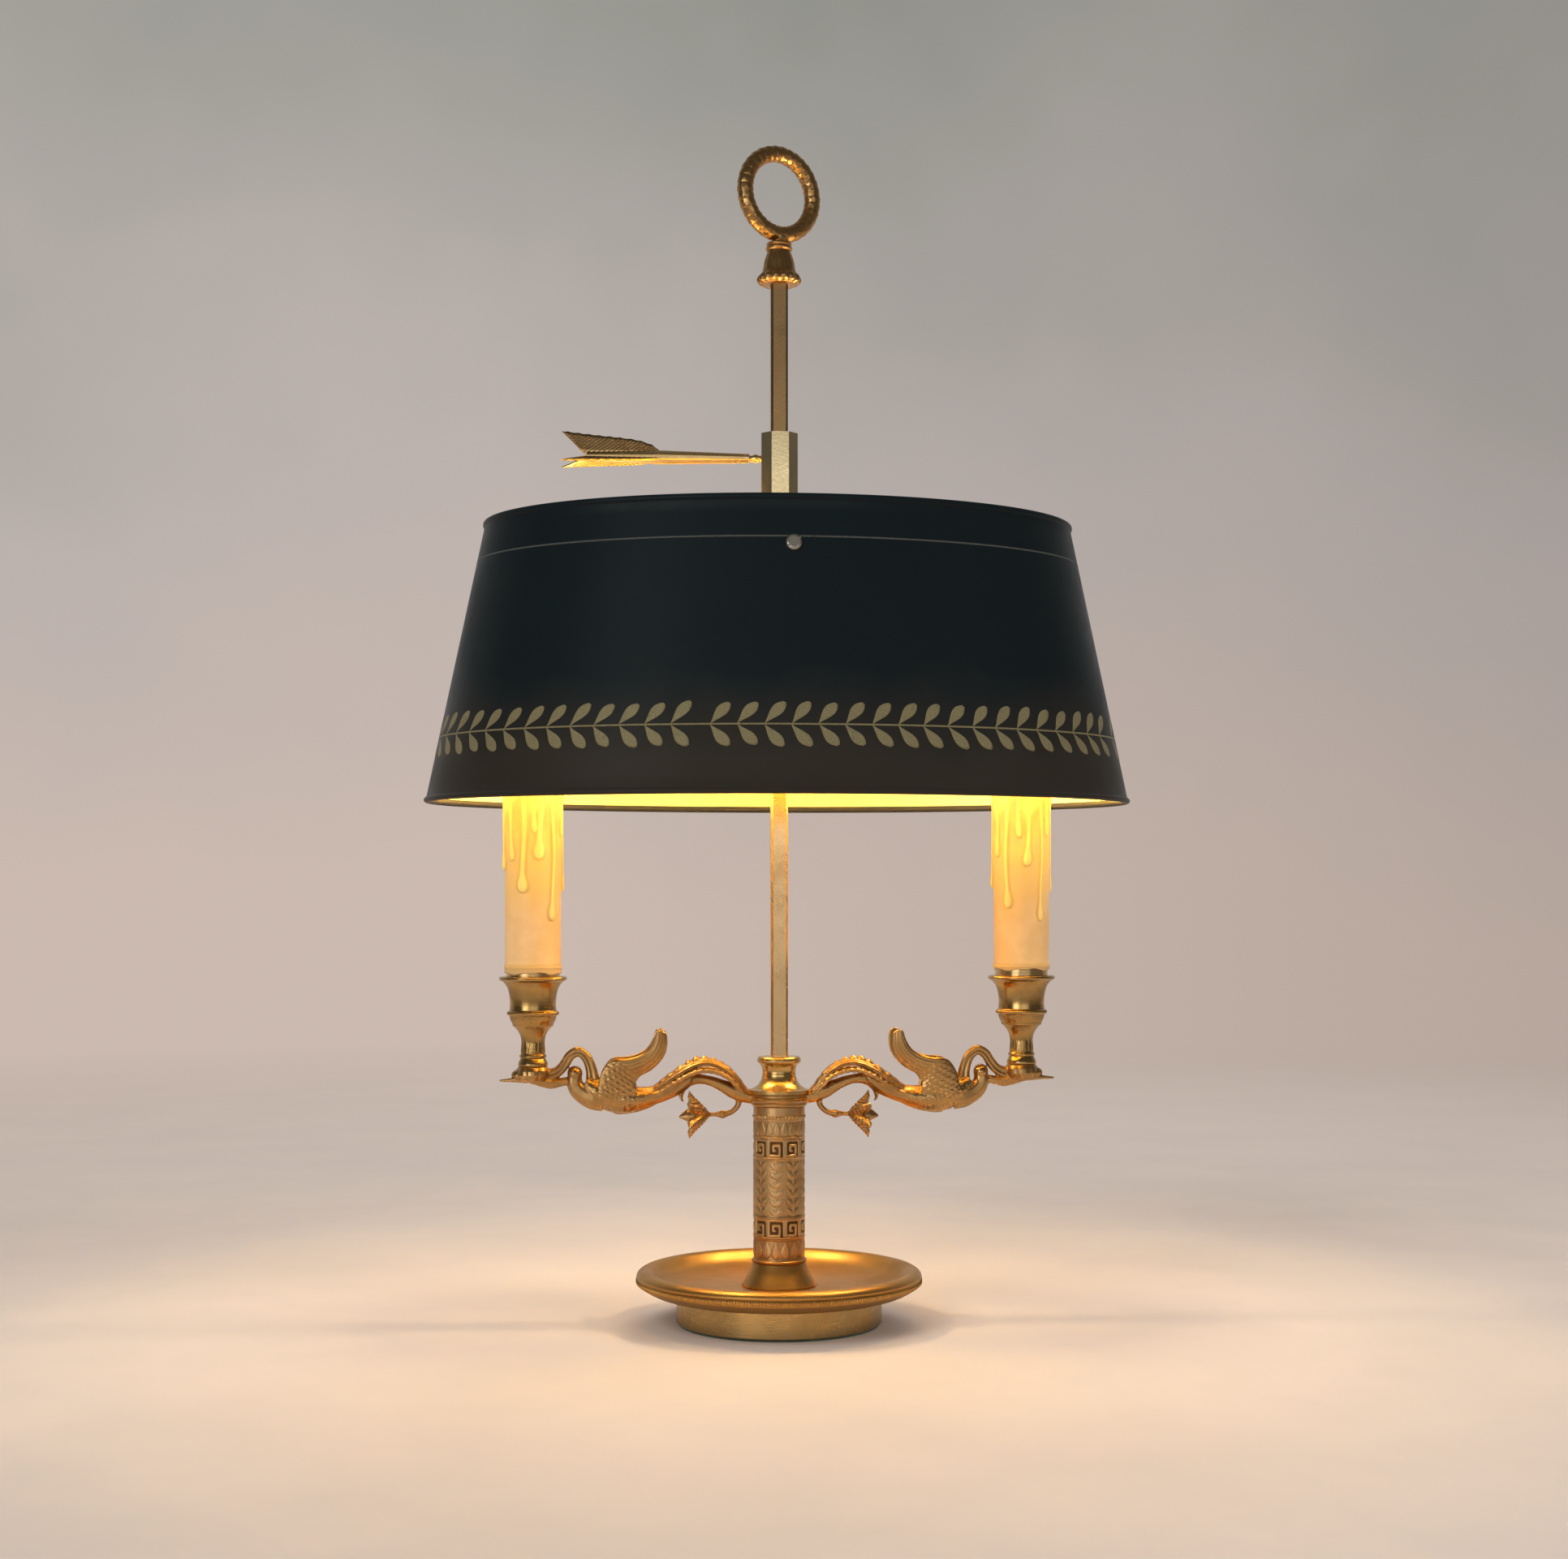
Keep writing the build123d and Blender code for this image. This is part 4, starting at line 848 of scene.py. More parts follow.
def makePan():
    p = panSize
    belly = curveThrough([(52.2, 14.2), (58.0, 14.9), (64.5, 16.6), (69.6, 19.4), (70.9, 20.3)], 1.2)
    band = [(70.9, 20.35), (71.25, 20.6), (71.3, 21.9), (71.25, 23.2), (70.95, 23.45)]
    lip = curveThrough([(70.95, 23.5), (71.5, 24.2), (70.9, 25.7), (69.2, 26.9), (66.6, 27.4)], 0.7)
    bowl = curveThrough([(66.6, 27.4), (65.0, 26.9), (63.3, 25.5), (60.9, 22.8), (57.8, 20.9), (53.0, 19.8),
                         (46.0, 19.3), (34.0, 19.15), (19.6, 19.0)], 0.8)
    profile = [[(p["bore"], p["under"]), (30.0, p["under"]), (52.2, p["under"])], belly, band, lip, bowl[1:],
               [(p["bore"], p["floor"])]]
    makePiece("dish", turned(profile, 256), [metals["satinBrass"]], ("drip_pan",))

    def teeth(angle, radius, height):
        return np.where(radius > 71.2, (0.5 * np.cos(angle * p["teeth"]) - 0.5) * p["bite"], 0.0)

    ring = [(70.8, 20.7), (71.5, 20.75), (71.85, 21.2), (71.85, 22.6), (71.5, 23.05), (70.8, 23.1)]
    edge = turned([ring], p["teeth"] * 6, relief=teeth)
    makePiece("milledEdge", edge, [metals["satinBrass"]])


makePan()


# Column, its flared foot and the hub ring

columnSize = {
    "radius": 12.9, "bore": 8.6, "bottom": 32.6, "top": 109.1, "lowerKey": 44.6, "upperKey": 84.4,
    "keyHeight": 9.0, "keyUnits": 9, "beads": 44, "beadRadius": 0.85,
}
meander = (
    "########",
    "#......#",
    "#.####.#",
    "#.#..#.#",
    "#.##.#.#",
    "#....#.#",
    "######.#",
)


def keyRelief(angle, height, bottom, tall, units):
    cells = np.array([[1.0 if mark == "#" else 0.0 for mark in row] for row in meander[::-1]])
    rows, columns = cells.shape
    row = (height - bottom) / tall * rows - 0.5
    column = (angle / fullTurn * units * columns) % columns - 0.5
    total = np.zeros_like(height)
    rowBase, columnBase = np.floor(row), np.floor(column)
    for dr in (0, 1):
        for dc in (0, 1):
            r = rowBase + dr
            weight = (1 - np.abs(row - r)) * (1 - np.abs(column - columnBase - dc))
            picked = cells[np.clip(r, 0, rows - 1).astype(int), (columnBase + dc).astype(int) % columns]
            total += np.where((r >= 0) & (r < rows), picked * weight, 0)
    return softStep(total, 0.32, 0.68)


def leafRelief(along, across, length, width, power=0.8):
    t = np.clip(along / length, 1e-4, 0.9999)
    half = width * np.sin(math.pi * t ** power)
    body = np.sqrt(np.clip(1 - (across / (half + 1e-6)) ** 2, 0, 1))
    rib = 0.35 * np.exp(-(across / 0.22) ** 2)
    return np.where((along > 0) & (along < length), body * (1 - rib), 0)


def columnRelief(angle, radius, height):
    c = columnSize
    girth = fullTurn * c["radius"]
    around = angle * c["radius"]
    total = np.zeros_like(height)
    for bottom in (c["lowerKey"], c["upperKey"]):
        fret = keyRelief(angle, height, bottom, c["keyHeight"], c["keyUnits"])
        total = np.where((height > bottom) & (height < bottom + c["keyHeight"]), -0.62 + 0.70 * fret, total)
        for edge in (bottom - 0.5, bottom + c["keyHeight"] + 0.5):
            total += 0.32 * np.exp(-((height - edge) / 0.36) ** 2)
    # climbing leaves between the friezes
    unit = girth / c["keyUnits"]
    side = np.abs((around / unit) % 1 - 0.5) * unit
    low, high, step, lean = c["lowerKey"] + c["keyHeight"] + 1.6, c["upperKey"] - 1.6, 4.6, math.radians(48)
    leaves = np.exp(-(side / 0.3) ** 2)
    for shift in (-1, 0, 1):
        rise = (height - low) % step + step * shift
        along = side * math.cos(lean) + rise * math.sin(lean)
        across = -side * math.sin(lean) + rise * math.cos(lean)
        leaves = np.maximum(leaves, leafRelief(along, across, 5.4, 1.15))
    total = np.where((height > low) & (height < high), -0.14 + 0.24 * leaves, total)
    # upright palm leaves over the foot and under the hub
    overKey = c["upperKey"] + c["keyHeight"]
    for bottom, tall, count in ((c["bottom"] + 1.2, 8.6, 16), (overKey + 1.8, 6.6, 20)):
        width = girth / count
        across = ((around / width) % 1 - 0.5) * width
        palm = leafRelief(height - bottom, across, tall, width * 0.46, 0.62)
        total = np.where((height > bottom - 0.5) & (height < bottom + tall + 0.5), -0.18 + 0.32 * palm, total)
    # a row of beads
    across = ((angle / fullTurn * c["beads"]) % 1 - 0.5) * girth / c["beads"]
    size = c["beadRadius"]
    beads = np.sqrt(np.clip(1 - (across / size) ** 2 - ((height - overKey - 10.6) / size) ** 2, 0, 1))
    total = np.where(beads > 0, 0.5 * beads, total)
    return np.where(radius > 12.0, total, 0)


def makeColumn():
    c = columnSize
    levels = np.arange(c["bottom"], c["top"] + 0.01, 0.28)
    profile = [(c["bore"], c["bottom"])] + [(c["radius"], z) for z in levels] + [(c["bore"], c["top"])]
    foot = [[(8.6, 19.0), (18.6, 19.0), (18.75, 19.5), (18.55, 20.1)],
            curveThrough([(18.4, 20.3), (17.2, 22.4), (15.3, 25.8), (13.9, 29.0), (13.2, 31.0)], 0.5),
            arcBetween((13.0, 31.8), 0.85, -80, 80, 7), [(12.9, 32.6), (8.6, 32.6)]]
    hub = [[(8.6, 109.1), (13.3, 109.1)], arcBetween((13.1, 110.1), 0.9, -90, 20, 6),
           arcBetween((12.9, 112.3), 1.6, -50, 50, 9), arcBetween((13.1, 114.5), 0.9, -20, 90, 6),
           [(13.3, 115.5), (8.6, 115.5)]]
    for name, shape, metal, replaced in (
        ("engravedColumn", turned([profile], 400, relief=columnRelief), "chasedBrass", "column"),
        ("columnFlare", turned(foot, 192), "satinBrass", "column_foot"),
        ("hubRing", turned(hub, 160), "castBrass", "arm_hub"),
    ):
        makePiece(name, shape, [metals[metal]], (replaced,))


makeColumn()
print("foot and column made")


# Finial and ring handle

finialSize = {"bottom": 521.4, "top": 542.8, "lobes": 14, "ringZ": 567.0, "ring": 20.0, "section": 3.87,
              "turn": 29.0, "leaves": 34, "scales": 8, "scaleHeight": 0.28}


def makeFinial():
    f = finialSize
    b = f["bottom"]
    cone = [(8.9, 0.1), (10.6, 1.2), (10.9, 2.8), (10.2, 4.4), (8.9, 5.6), (8.3, 7.2), (7.9, 9.0),
            (7.3, 12.0), (6.3, 15.4), (5.7, 17.0)]
    profile = [[(0.01, b), (6.0, b), (8.8, b)], curveThrough([(r, b + z) for r, z in cone], 0.35),
               arcBetween((5.9, b + 18.0), 0.9, -70, 70, 7), [(5.4, b + 19.1)],
               arcBetween((5.6, b + 20.1), 0.9, -60, 80, 7), [(3.6, f["top"]), (0.01, f["top"])]]

    def gadroons(angle, radius, height):
        lobe = np.abs(np.cos(angle * f["lobes"] / 2))
        flange = np.clip(1 - np.abs(height - b - 2.6) / 3.2, 0, 1)
        leaf = np.clip(1 - np.abs(height - b - 11.0) / 5.5, 0, 1)
        ribs = np.abs(np.cos(angle * f["lobes"] / 2 + math.pi / 2)) ** 0.6
        total = flange ** 0.5 * (lobe ** 0.7 - 0.75) * 1.3 + leaf * (ribs - 0.6) * 0.35
        return np.where(radius > 4, total, 0)

    makePiece("leafFinial", turned(profile, 224, relief=gadroons), [metals["agedBrass"]],
              ("finial",))
    rows, sides = 408, 48
    around, section = np.meshgrid(turnSteps(rows), turnSteps(sides), indexing="ij")
    row = around / fullTurn * f["leaves"]
    column = (section / fullTurn * f["scales"] + 0.5 * (np.floor(row) % 2)) % 1 - 0.5
    part = (row % 1) / (1 - 1.5 * column ** 2)
    scales = np.where(part < 1, part, 0.15) - 0.30 * np.exp(-(column / 0.09) ** 2)
    thick = f["section"] + f["scaleHeight"] * scales
    turn = math.radians(f["turn"])
    reach, across = f["ring"] + thick * np.cos(section), thick * np.sin(section)
    flat = reach * np.sin(around)
    points = np.stack([flat * math.cos(turn) + across * math.sin(turn),
                       flat * math.sin(turn) - across * math.cos(turn),
                       f["ringZ"] - reach * np.cos(around)], axis=-1)
    ring = points.reshape(-1, 3).tolist(), flipped(gridFaces(rows, sides, True))
    stalk = turned([[(0.01, 536.9), (3.35, 536.9), (3.35, 544.2), (4.3, 545.2), (3.2, 546.6),
                     (0.01, 546.6)]], 64)
    makePiece("ringHandle", joinShapes([ring, stalk]), [metals["agedBrass"]], ("ring_handle",))


makeFinial()
print("finial and ring made")


# Swan arms. Everything is drawn for the right arm, x outwards along the arm, and mirrored.

swanLook = {"voxel": 0.3, "smoothing": 2, "wingThickness": 1.5, "feather": 0.42, "splay": 2.2}
wingEdges = (
    # outer and inner edge, both from the wing tip to the flank
    ((59.4, 147.7), (61.7, 146.9), (63.2, 142.6), (66.4, 137.8), (71.5, 134.8), (77.5, 133.6), (83.0, 133.2),
     (87.0, 129.8), (89.8, 123.8), (91.0, 117.0)),
    ((59.0, 147.7), (56.5, 145.6), (56.3, 139.2), (58.6, 133.4), (63.8, 128.0), (69.2, 124.9), (71.7, 121.6),
     (71.2, 117.6), (73.8, 113.6), (80.5, 111.8)),
)


def roundScale(column):
    return 1 - 0.9 * np.abs(2 * (column % 1) - 1) ** 2


def makeWing(side):
    rows, columns = 150, 56
    edges = [curveThrough(edge, 0.4) for edge in wingEdges]
    outer, inner = [edge[np.linspace(0, len(edge) - 1, rows).astype(int)] for edge in edges]
    u = np.linspace(0, 1, rows)[:, None]
    v = np.linspace(0, 1, columns)[None, :]
    x = inner[:, :1] + (outer[:, :1] - inner[:, :1]) * v
    z = inner[:, 1:] + (outer[:, 1:] - inner[:, 1:]) * v
    # long flight feathers towards the tip, short scale-like coverts on the shoulder
    quills = np.abs(np.sin(math.pi * (5.0 * v + 0.5 * u))) ** 0.7
    row = u * 21
    scales = (1 - (row % 1)) * roundScale(v * 5.5 + 0.5 * (np.floor(row) % 2))
    shoulder = softStep(u + 0 * v, 0.52, 0.66)
    relief = quills * (1 - shoulder) + 1.25 * scales * shoulder
    crown = np.sin(math.pi * np.clip(v, 0.02, 0.98)) ** 0.55
    base = 6.2 + swanLook["splay"] * (1 - u) - 0.6 * np.cos(math.pi * v)
    thick = swanLook["wingThickness"] * (0.55 + 0.45 * np.clip(u * 4, 0, 1))
    outside = base + crown * (thick + swanLook["feather"] * relief)
    points = np.concatenate([np.stack([x, -y * side, z], axis=-1).reshape(-1, 3)
                             for y in (outside, base - crown * 0.5)])
    faces = slabFaces(rows, columns)
    return points.tolist(), flipped(faces) if side < 0 else faces


def grooved(depth, wide):
    # a furrow down both flanks of a strand
    def relief(share, angle):
        fold = np.abs((np.degrees(angle) % 180) - 90)
        return 1 - depth * np.exp(-(fold / wide) ** 2) + 0 * share
    return relief


def ribbed(count, amount, beats=0.0, beatAmount=0.0):
    def relief(share, angle):
        beat = beatAmount * np.sin(beats * fullTurn * share) * np.cos(angle)
        return 1 + amount * np.cos(count * angle) + beat
    return relief


def plumed(rows, around, amount):
    # small overlapping feathers, tips turned back along the body
    def relief(share, angle):
        row = share * rows
        scale = (row % 1) * roundScale(angle / fullTurn * around + 0.5 * (np.floor(row) % 2))
        return 1 + amount * (scale - 0.3)
    return relief


def makeSwanRight():
    shapes = []

    def bar(points, width, depth=None, sides=20, relief=None, step=0.6, offsetY=(0, 0)):
        shapes.append(strand(curveThrough(points, step), width, depth, sides, offsetY, relief))

    def knob(*size):
        shapes.append(ball(*size))

    # peg in the hub and lower strand
    bar([(10.9, 112.9), (15.0, 113.5), (21.4, 115.6), (27.9, 118.9), (34.5, 121.6), (41.1, 122.6),
         (47.6, 121.0), (56.0, 117.0)],
        [2.9, 3.6, 3.7, 2.8, 2.3, 2.8, 3.6, 3.4], None, 32, ribbed(5, 0.03))
    # one thick trunk where both strands have grown together
    bar([(41.5, 128.2), (45.5, 124.9), (50.0, 120.6), (56.0, 117.0), (63.0, 114.6), (70.0, 113.6)],
        [1.5, 4.9, 4.7, 4.3, 4.5, 4.6], [3.4, 4.8, 5.2, 5.2, 5.4, 5.6], 48, ribbed(9, 0.045))
    # curled leaf that springs over it, a wide blade with a rolled edge each side
    bar([(13.6, 114.0), (18.2, 117.6), (21.6, 122.2), (26.2, 127.2), (32.2, 130.4), (39.0, 131.0),
         (46.0, 128.6), (54.0, 123.6), (62.0, 118.0), (68.0, 115.0)],
        [1.6, 2.0, 2.0, 1.9, 1.9, 2.1, 2.3, 2.2, 1.8, 1.0],
        [2.4, 3.4, 4.4, 5.0, 5.2, 5.2, 5.2, 4.8, 4.4, 3.0], 48, ribbed(12, 0.075, 15, 0.05))
    rolled = [(x + 0.3, z - 1.6 - 1.2 * math.sin(math.pi * k / 9)) for k, (x, z) in enumerate(
        [(16.4, 115.6), (21.0, 121.0), (25.6, 126.0), (32.0, 129.2), (39.0, 129.8), (46.4, 127.2),
         (54.0, 122.4), (62.0, 117.6), (68.0, 115.4), (70.0, 115.0)])]
    for side in (-1, 1):
        bar(rolled, [0.5, 1.1, 1.3, 1.3, 1.3, 1.3, 1.2, 1.0, 0.5], None, 20, ribbed(5, 0.1, 19, 0.16),
            offsetY=[side * y for y in (2.6, 3.8, 4.6, 4.9, 4.9, 4.8, 4.4, 3.8, 3.0)])
    for x, z, size in ((29.4, 130.6, 1.3), (33.4, 132.4, 1.35), (37.4, 133.2, 1.45), (41.4, 132.9, 1.5),
                       (45.2, 131.4, 1.3), (49.4, 128.8, 1.1)):
        for side in (-1, 0, 1):
            knob((x + 0.5 * abs(side), side * 2.6, z - 0.7 * abs(side)), (size * 1.15, size, size * 0.85))
    # torn leaf tip under the bend
    bar([(46.2, 121.0), (48.4, 117.4), (49.2, 113.6), (48.2, 111.4)],
        [2.4, 1.7, 1.1, 0.4], [2.2, 2.6, 2.0, 0.5], 24, ribbed(5, 0.09))
    # tail, body and breast
    bar([(50.0, 121.6), (56.0, 118.2), (63.0, 114.9), (70.5, 113.0), (78.0, 113.2), (85.5, 114.6),
         (92.0, 117.4), (97.0, 121.4)],
        [1.8, 3.4, 4.6, 6.0, 7.6, 7.6, 6.4, 3.6], [2.2, 4.0, 5.2, 6.4, 7.4, 7.4, 6.2, 4.0],
        72, plumed(22, 14, 0.045))
    bar([(60.0, 112.8), (68.0, 109.4), (75.6, 107.0), (80.6, 106.0), (83.0, 106.1)],
        [1.6, 2.0, 1.9, 1.3, 0.4], [2.4, 3.4, 3.2, 2.0, 0.4], 28, ribbed(7, 0.08))
    # neck: a double ridge that arches over and comes down to the head
    bar([(92.4, 115.4), (93.2, 122.0), (94.2, 128.2), (96.4, 133.6), (100.4, 136.6), (104.4, 134.8),
         (107.2, 130.6), (110.6, 126.8), (115.4, 125.0), (121.0, 125.0)],
        [5.4, 3.8, 2.9, 2.6, 2.5, 2.5, 2.5, 2.6, 3.2, 3.9],
        [5.4, 3.8, 2.9, 2.6, 2.4, 2.4, 2.4, 2.7, 3.4, 4.4], 56, grooved(0.34, 22), 0.4)
    # breast scroll, and the strand from it to the head
    bar([(88.0, 113.2), (94.0, 114.0), (99.4, 116.6), (102.2, 120.6), (102.3, 125.0)],
        [6.6, 6.2, 5.0, 4.1, 3.6], [6.4, 6.0, 5.0, 4.4, 4.0], 48, grooved(0.1, 26), 0.4)
    knob((102.2, 0, 125.8), (3.8, 4.3, 3.9), 32, 18)
    bar([(101.6, 120.4), (105.8, 121.8), (109.6, 121.3), (113.6, 120.9), (118.0, 122.0), (123.0, 123.4)],
        [3.6, 2.1, 2.2, 2.9, 3.1, 2.9], [3.6, 2.7, 2.8, 3.4, 4.0, 4.4], 32, ribbed(5, 0.03), 0.4)
    # head, bill and the leaf sheath that holds the cup
    knob((122.8, 0, 125.6), (8.4, 6.4, 4.6), 40, 24)
    knob((129.0, 0, 125.2), (4.8, 4.4, 3.0), 32, 18)
    for side in (-1, 1):
        knob((128.0, side * 3.2, 126.4), (1.5, 1.0, 1.4))
        knob((124.8, side * 4.6, 124.8), (3.0, 1.6, 2.2))
    bar([(124.0, 123.0), (130.0, 122.9), (135.0, 122.6), (139.6, 122.4)], [2.2, 1.7, 1.0, 0.5],
        [4.6, 3.7, 2.4, 1.1], 32, grooved(0.12, 16), 0.4)
    sheath = [(0.01, 122.0), (6.6, 122.4), (8.3, 125.0), (8.0, 127.4), (7.2, 129.2), (6.1, 129.65),
              (0.01, 129.65)]

    def lobes(angle, radius, height):
        return np.where(radius > 1, 0.55 * np.abs(np.cos(4 * angle)) ** 0.6 - 0.3, 0)

    shapes.append(turned([sheath], 96, 123.0, lobes, closed=False))
    # hanging bell flower on its stalk
    bar([(20.4, 113.4), (20.6, 109.6), (23.4, 106.4), (27.0, 105.0)], [1.7, 1.4, 1.3, 1.5], step=0.4)
    knob((28.4, 0, 104.9), (2.2, 2.1, 2.1))
    knob((30.6, 0, 104.9), (1.3, 1.5, 1.5))
    shapes.append(strand([(28.4, 104.9), (37.0, 104.8)], [1.05, 1.05], sides=16))
    knob((38.2, 0, 104.8), (2.9, 2.8, 2.9))
    bar([(37.6, 104.8), (41.4, 104.6), (45.6, 104.2), (50.2, 103.7)],
        [1.6, 3.3, 3.2, 0.5], [1.6, 2.6, 2.2, 0.5], 24, ribbed(3, 0.08), 0.4)
    # petals: how far along, how far out, size
    stops = ((36.4, 0.9, 1.6), (39.6, 3.4, 3.0), (42.4, 6.2, 3.0), (44.2, 8.8, 1.9), (45.0, 11.2, 0.5))
    for angle in np.radians(np.arange(6) * 60 + 90.0):
        spread, rise = math.cos(angle), math.sin(angle)
        for t in np.linspace(0, 4, 9):
            along, out, size = [np.interp(t, range(5), column) for column in zip(*stops)]
            radii = [max(0.5, 0.75 * size * abs(one) + 0.9 * abs(other))
                     for one, other in ((rise, spread), (spread, rise))]
            knob((along, out * spread, 104.8 + out * rise), (size, *radii), 16, 10)
    shapes += [makeWing(side) for side in (-1, 1)]
    return fused(shapes, swanLook["voxel"], swanLook["smoothing"])


def makeSwans():
    points, faces = makeSwanRight()
    mirrored = [(-x, y, z) for x, y, z in points], flipped(faces)
    for name, shape in (("right", (points, faces)), ("left", mirrored)):
        makePiece(f"swan{name.capitalize()}", shape, [metals["castBrass"]],
                  (f"swan_arm_{name}",))
    print("swans cast,", len(faces), "faces each")


makeSwans()


# Candle cups

cupSize = {"reach": 123.0, "foot": 129.7, "rim": 174.3, "leaves": 8}


def makeCups():
    c = cupSize
    profile = [
        [(4.55, c["foot"]), (7.3, c["foot"]), (7.5, 130.3), (7.3, 131.3), (6.8, 132.4), (6.3, 133.4)],
        arcBetween((5.75, 134.6), 1.0, -70, 70, 9),
        curveThrough([(6.0, 136.0), (5.85, 137.6), (5.65, 140.0), (5.6, 142.0), (6.2, 144.7), (7.7, 147.4),
                      (9.3, 149.2)], 0.35),
        [(9.9, 149.5), (10.2, 149.9), (10.1, 150.4), (10.3, 150.7)],
        curveThrough([(10.4, 151.0), (11.2, 152.8), (11.7, 154.6)], 0.35),
        arcBetween((11.8, 156.0), 1.05, -75, 75, 9),
        curveThrough([(11.7, 157.4), (11.5, 160.6), (11.75, 164.4), (12.7, 168.6), (14.6, 171.4),
                      (16.0, 172.3)], 0.35),
        arcBetween((16.0, 173.3), 0.95, -80, 85, 9),
        [(15.9, c["rim"]), (13.45, c["rim"]), (13.45, 173.3), (4.55, 173.3)],
    ]

    def relief(angle, radius, height):
        # leaves clasp the stem, soft gadroons fill the bowl
        leaf = np.abs(np.cos(angle * c["leaves"] / 2))
        rib = np.exp(-((((angle * c["leaves"] / fullTurn + 0.5) % 1) - 0.5) / 0.05) ** 2)
        stemZone = np.clip((height - 135.6) / 1.5, 0, 1) * np.clip((146.5 - height) / 5, 0, 1)
        cut = softStep(leaf - (height - 135) / 13, -0.1, 0.25)
        bowl = np.clip((height - 150.8) / 1, 0, 1) * np.clip((154.6 - height) / 1, 0, 1)
        milled = ((height > 155.0) & (height < 157.0)) * 0.12 * np.cos(angle * 60)
        total = stemZone * (0.24 * cut + 0.08 * rib - 0.08) + bowl * 0.12 * np.abs(np.cos(angle * 8)) + milled
        return np.where(radius > 5.2, total, 0)

    points, faces = turned(profile, 360, relief=relief)
    for name, sign in (("right", 1), ("left", -1)):
        moved = [(x + sign * c["reach"], y, z) for x, y, z in points]
        makePiece(f"candleCup{name.capitalize()}", (moved, faces), [metals["cupBrass"]],
                  (f"candle_cup_{name}",))


makeCups()


# Candle sleeves with wax that has run down from the top

sleeveSize = {
    "bottom": 179.3, "top": 273.3, "radius": 13.93, "wall": 1.15, "thick": 1.9, "skirtIn": 13.8,
    "skirts": {"right": 176.9, "left": 175.2},      # how low wax has run over the ring at the foot
    "seeds": {"right": 21, "left": 34}, "turns": {"right": 0, "left": 17},
}
waxRuns = (
    # angle in degrees from the front, width, length from the top, bulb at the end
    (-62, 9, 38, 0.5), (-40, 12, 60, 0.7), (-18, 8, 30, 0.45), (6, 13, 46, 0.65), (31, 9, 66, 0.8),
    (55, 11, 34, 0.5), (84, 9, 52, 0.6), (112, 12, 28, 0.5), (140, 9, 58, 0.7), (171, 12, 40, 0.6),
    (203, 9, 62, 0.7), (232, 12, 33, 0.5), (262, 10, 50, 0.6),
)


def makeSleeve(name, sign):
    s = sleeveSize
    bottom, top, skirt = s["bottom"], s["top"], s["skirts"][name]
    outer, inner = s["radius"], s["radius"] - s["wall"]
    profile = [[(inner, bottom), (s["skirtIn"], bottom - 0.05), (s["skirtIn"], skirt)],
               [(outer + 0.2, z) for z in np.linspace(skirt, bottom - 0.1, 6)],
               [(outer, bottom + 0.02 + h) for h in np.arange(0, top - bottom - 0.6, 0.5)],
               [(outer - 0.15, top - 0.25), (outer - 0.5, top), (inner + 0.2, top), (inner, top - 0.3)]]
    chance = random.Random(s["seeds"][name])
    runs = [(a + chance.uniform(-8, 8) + s["turns"][name], w * chance.uniform(0.85, 1.15),
             h * chance.uniform(0.85, 1.15), b) for a, w, h, b in waxRuns]

    def drips(angle, radius, height):
        degrees = np.degrees(angle) + 90
        below = top - height
        total = s["thick"] * np.clip(1 - below / 30, 0, 1) * (0.75 + 0.25 * np.sin(angle * 5 + below / 6))
        total = total + 0.3 * np.exp(-((height - bottom) / 1.6) ** 2)
        for at, wide, length, bulb in runs:
            off = (degrees - at + 180) % 360 - 180 + 2.5 * np.sin(below / 9 + at)
            narrow = wide * (0.45 + 0.55 * np.exp(-below / 14))
            drop = bulb * np.exp(-((below - length + 4) / 4) ** 2)
            end = np.clip((length - below) / 2.2, 0, 1) ** 0.5
            run = np.exp(-(off / (narrow * (1 + drop))) ** 2) * end
            total = np.maximum(total, s["thick"] * (0.62 + 0.38 * drop) * run)
        return np.where(radius > outer - 0.05, np.minimum(total, s["thick"]), 0)

    points, faces = turned(profile, 300, relief=drips)
    x, y, z = np.array(points).T
    # the wax at the foot ends in a ragged line
    turn = np.arctan2(y, x)
    lift = 0.7 + 0.45 * np.sin(4 * turn + 1.1) + 0.3 * np.sin(9 * turn)
    share = np.clip((bottom - 0.05 - z) / (bottom - skirt), 0, 1)
    points = np.stack([x + sign * cupSize["reach"], y, z + lift * share], axis=-1)
    makePiece(f"waxSleeve{name.capitalize()}", (points, faces), [candleWax],
              (f"candle_sleeve_{name}",))


makeSleeve("right", 1)
makeSleeve("left", -1)
print("cups and candles made")


# Arrow key

keySize = {
    "axis": 434.0, "vaneStart": -58.8, "vane": 50.0, "screw": (-9.4, -5.7), "crisp": 34,
    "vanes": ((90, 1.0), (201, 0.82), (339, 0.82)),     # turn round the shaft in degrees, height scale
}


def alongX(xs, radius, angle):
    # a closed spindle along x round the screw's axis
    angle, x = np.meshgrid(angle, np.asarray(xs, dtype=float))
    axis = keySize["axis"]
    points = np.stack([x, radius * np.cos(angle), axis + radius * np.sin(angle)], axis=-1)
    return capped(points, [(xs[0], 0.0, axis), (xs[-1], 0.0, axis)])


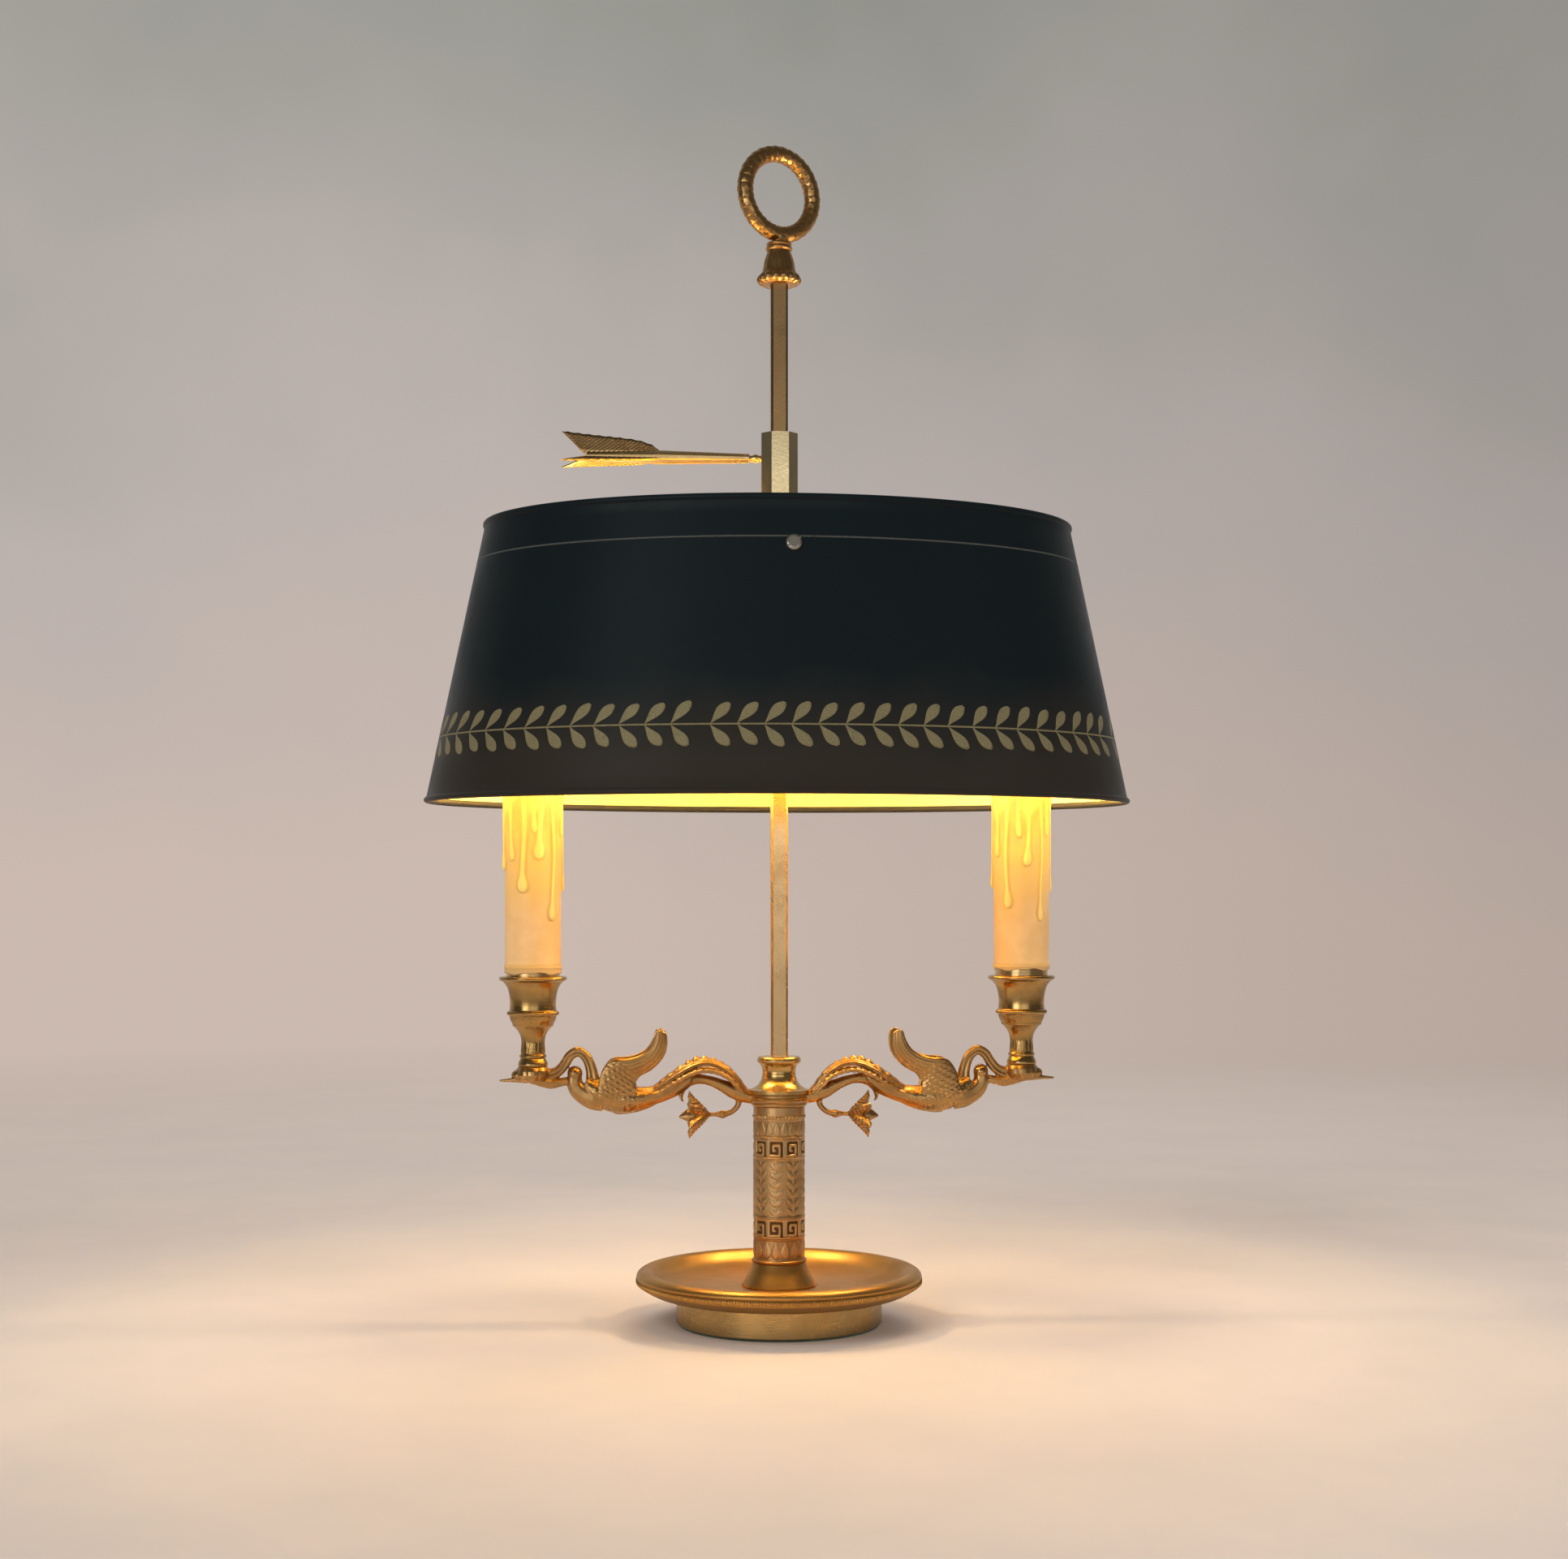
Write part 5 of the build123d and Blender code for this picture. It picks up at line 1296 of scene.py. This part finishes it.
def makeVane(turn, scale):
    k = keySize
    rows, columns = 120, 26
    u = np.linspace(0, 1, rows)[:, None]
    v = np.linspace(0, 1, columns)[None, :]
    along = -1 + (k["vane"] + 1) * u
    top = np.interp(along, [-1, 0, 2, 5, 9, 14, 22, 30, 40, 50],
                    [1.6, 2.6, 4.4, 6.4, 7.9, 9.0, 9.9, 10.6, 11.6, 12.75])
    # the vane's rear end is cut back to a notch at the shaft
    reach = along - u * 12.0 * (1 - v) * np.clip((along - 25) / 25, 0, 1)
    height = 0.6 + (top * scale - 0.6) * v - 0.35 * v ** 4 * np.abs(np.sin(math.pi * along / 5.2))
    barbs = np.abs(np.sin(math.pi * (reach * 0.42 + height * 0.60)))
    edge = np.clip(np.minimum(v, 1 - v) * 9, 0, 1) * np.clip((1 - u) * 30, 0, 1) * np.clip(u * 20, 0, 1)
    half = 0.32 + 0.42 * edge - 0.26 * edge * (1 - barbs) + 0.25 * np.clip(1 - v * 6, 0, 1)
    y, z = math.cos(turn), math.sin(turn)
    both = [np.stack([k["vaneStart"] - reach, height * y - sign * half * z,
                      k["axis"] + height * z + sign * half * y], axis=-1).reshape(-1, 3) for sign in (1, -1)]
    return np.concatenate(both).tolist(), slabFaces(rows, columns)


def makeKey():
    k = keySize
    rows = np.arange(*k["screw"], 0.06)
    angle = turnSteps(48)
    phase = (rows[:, None] + angle[None, :] / fullTurn) % 1
    thread = 1.62 + 0.36 * (1 - np.abs(2 * phase - 1))
    thread[0], thread[-1] = 1.5, 1.2
    shapes = [alongX(rows, thread, angle)]
    # neck with its ball, the eight-sided shaft, and the nock behind the vanes
    neckX = [-14.9, -14.6, -13.9, -13.2, -12.4, -11.7, -11.2, -10.6, -9.9, -9.3]
    neckR = [1.3, 1.55, 1.6, 1.75, 2.15, 2.25, 2.15, 1.7, 1.6, 1.6]
    shapes.append(alongX(neckX, np.array(neckR)[:, None], turnSteps(32)))
    shaftX = np.concatenate([[-96.6, -96.4], np.linspace(-95, -60, 30), np.linspace(-58.8, -15.2, 44),
                             [-14.8]])
    size = np.interp(shaftX, [-96.8, -58.8, -14.8], [2.15, 3.35, 2.25])
    size[0] *= 0.8
    size[-1] *= 0.85
    angle = turnSteps(64)
    facet = (angle + math.pi / 8) % (math.pi / 4) - math.pi / 8
    shapes.append(alongX(shaftX, size[:, None] * np.minimum(1 / np.cos(facet), 1.055)[None, :], angle))
    shapes += [makeVane(math.radians(turn), scale) for turn, scale in k["vanes"]]

    # painted shade: the upper part of the vanes takes a darker brass
    def pick(centre, normal):
        return 1 if centre[0] < k["vaneStart"] + 1 and centre[2] > k["axis"] + 3.2 else 0

    piece = makePiece("arrowKey", joinShapes(shapes),
                      [metals["keyBrass"], metals["shadedVaneBrass"]], ("arrow_key",), "key", pick)
    piece.modifiers.new("crispEdges", "EDGE_SPLIT").split_angle = math.radians(k["crisp"])


makeKey()
print("arrow key made")


# Finishes on the pieces that keep their turned or milled form

plainFinishes = {
    feltCloth: ("felt_pad",),
    darkMoulding: ("cable_bush", "lamp_holder_left", "lamp_holder_right"),
    flameGlass: ("bulb_glass_left", "bulb_glass_right"),
    metals["footBrass"]: ("foot_ring",),
    metals["platedSteel"]: ("base_plate", "base_washer", "base_nut", "tie_rod", "cup_nipple_left",
                            "cup_nipple_right"),
    metals["polishedBrass"]: ("column_cap",),
    metals["barBrass"]: ("square_bar", "shade_spider", "clamp_pad"),
    metals["collarBrass"]: ("shade_collar",),
    metals["nickelScrew"]: ("shade_screws",),
    metals["cupBrass"]: ("sleeve_seat_left", "sleeve_seat_right"),
    metals["bulbThread"]: ("bulb_cap_left", "bulb_cap_right"),
}
for material, labels in plainFinishes.items():
    for label in labels:
        nodes[label].data.materials.clear()
        nodes[label].data.materials.append(material)
for label in plainFinishes[flameGlass]:
    nodes[label].visible_shadow = False      # the lamp inside shines through it
print("finishes laid on")
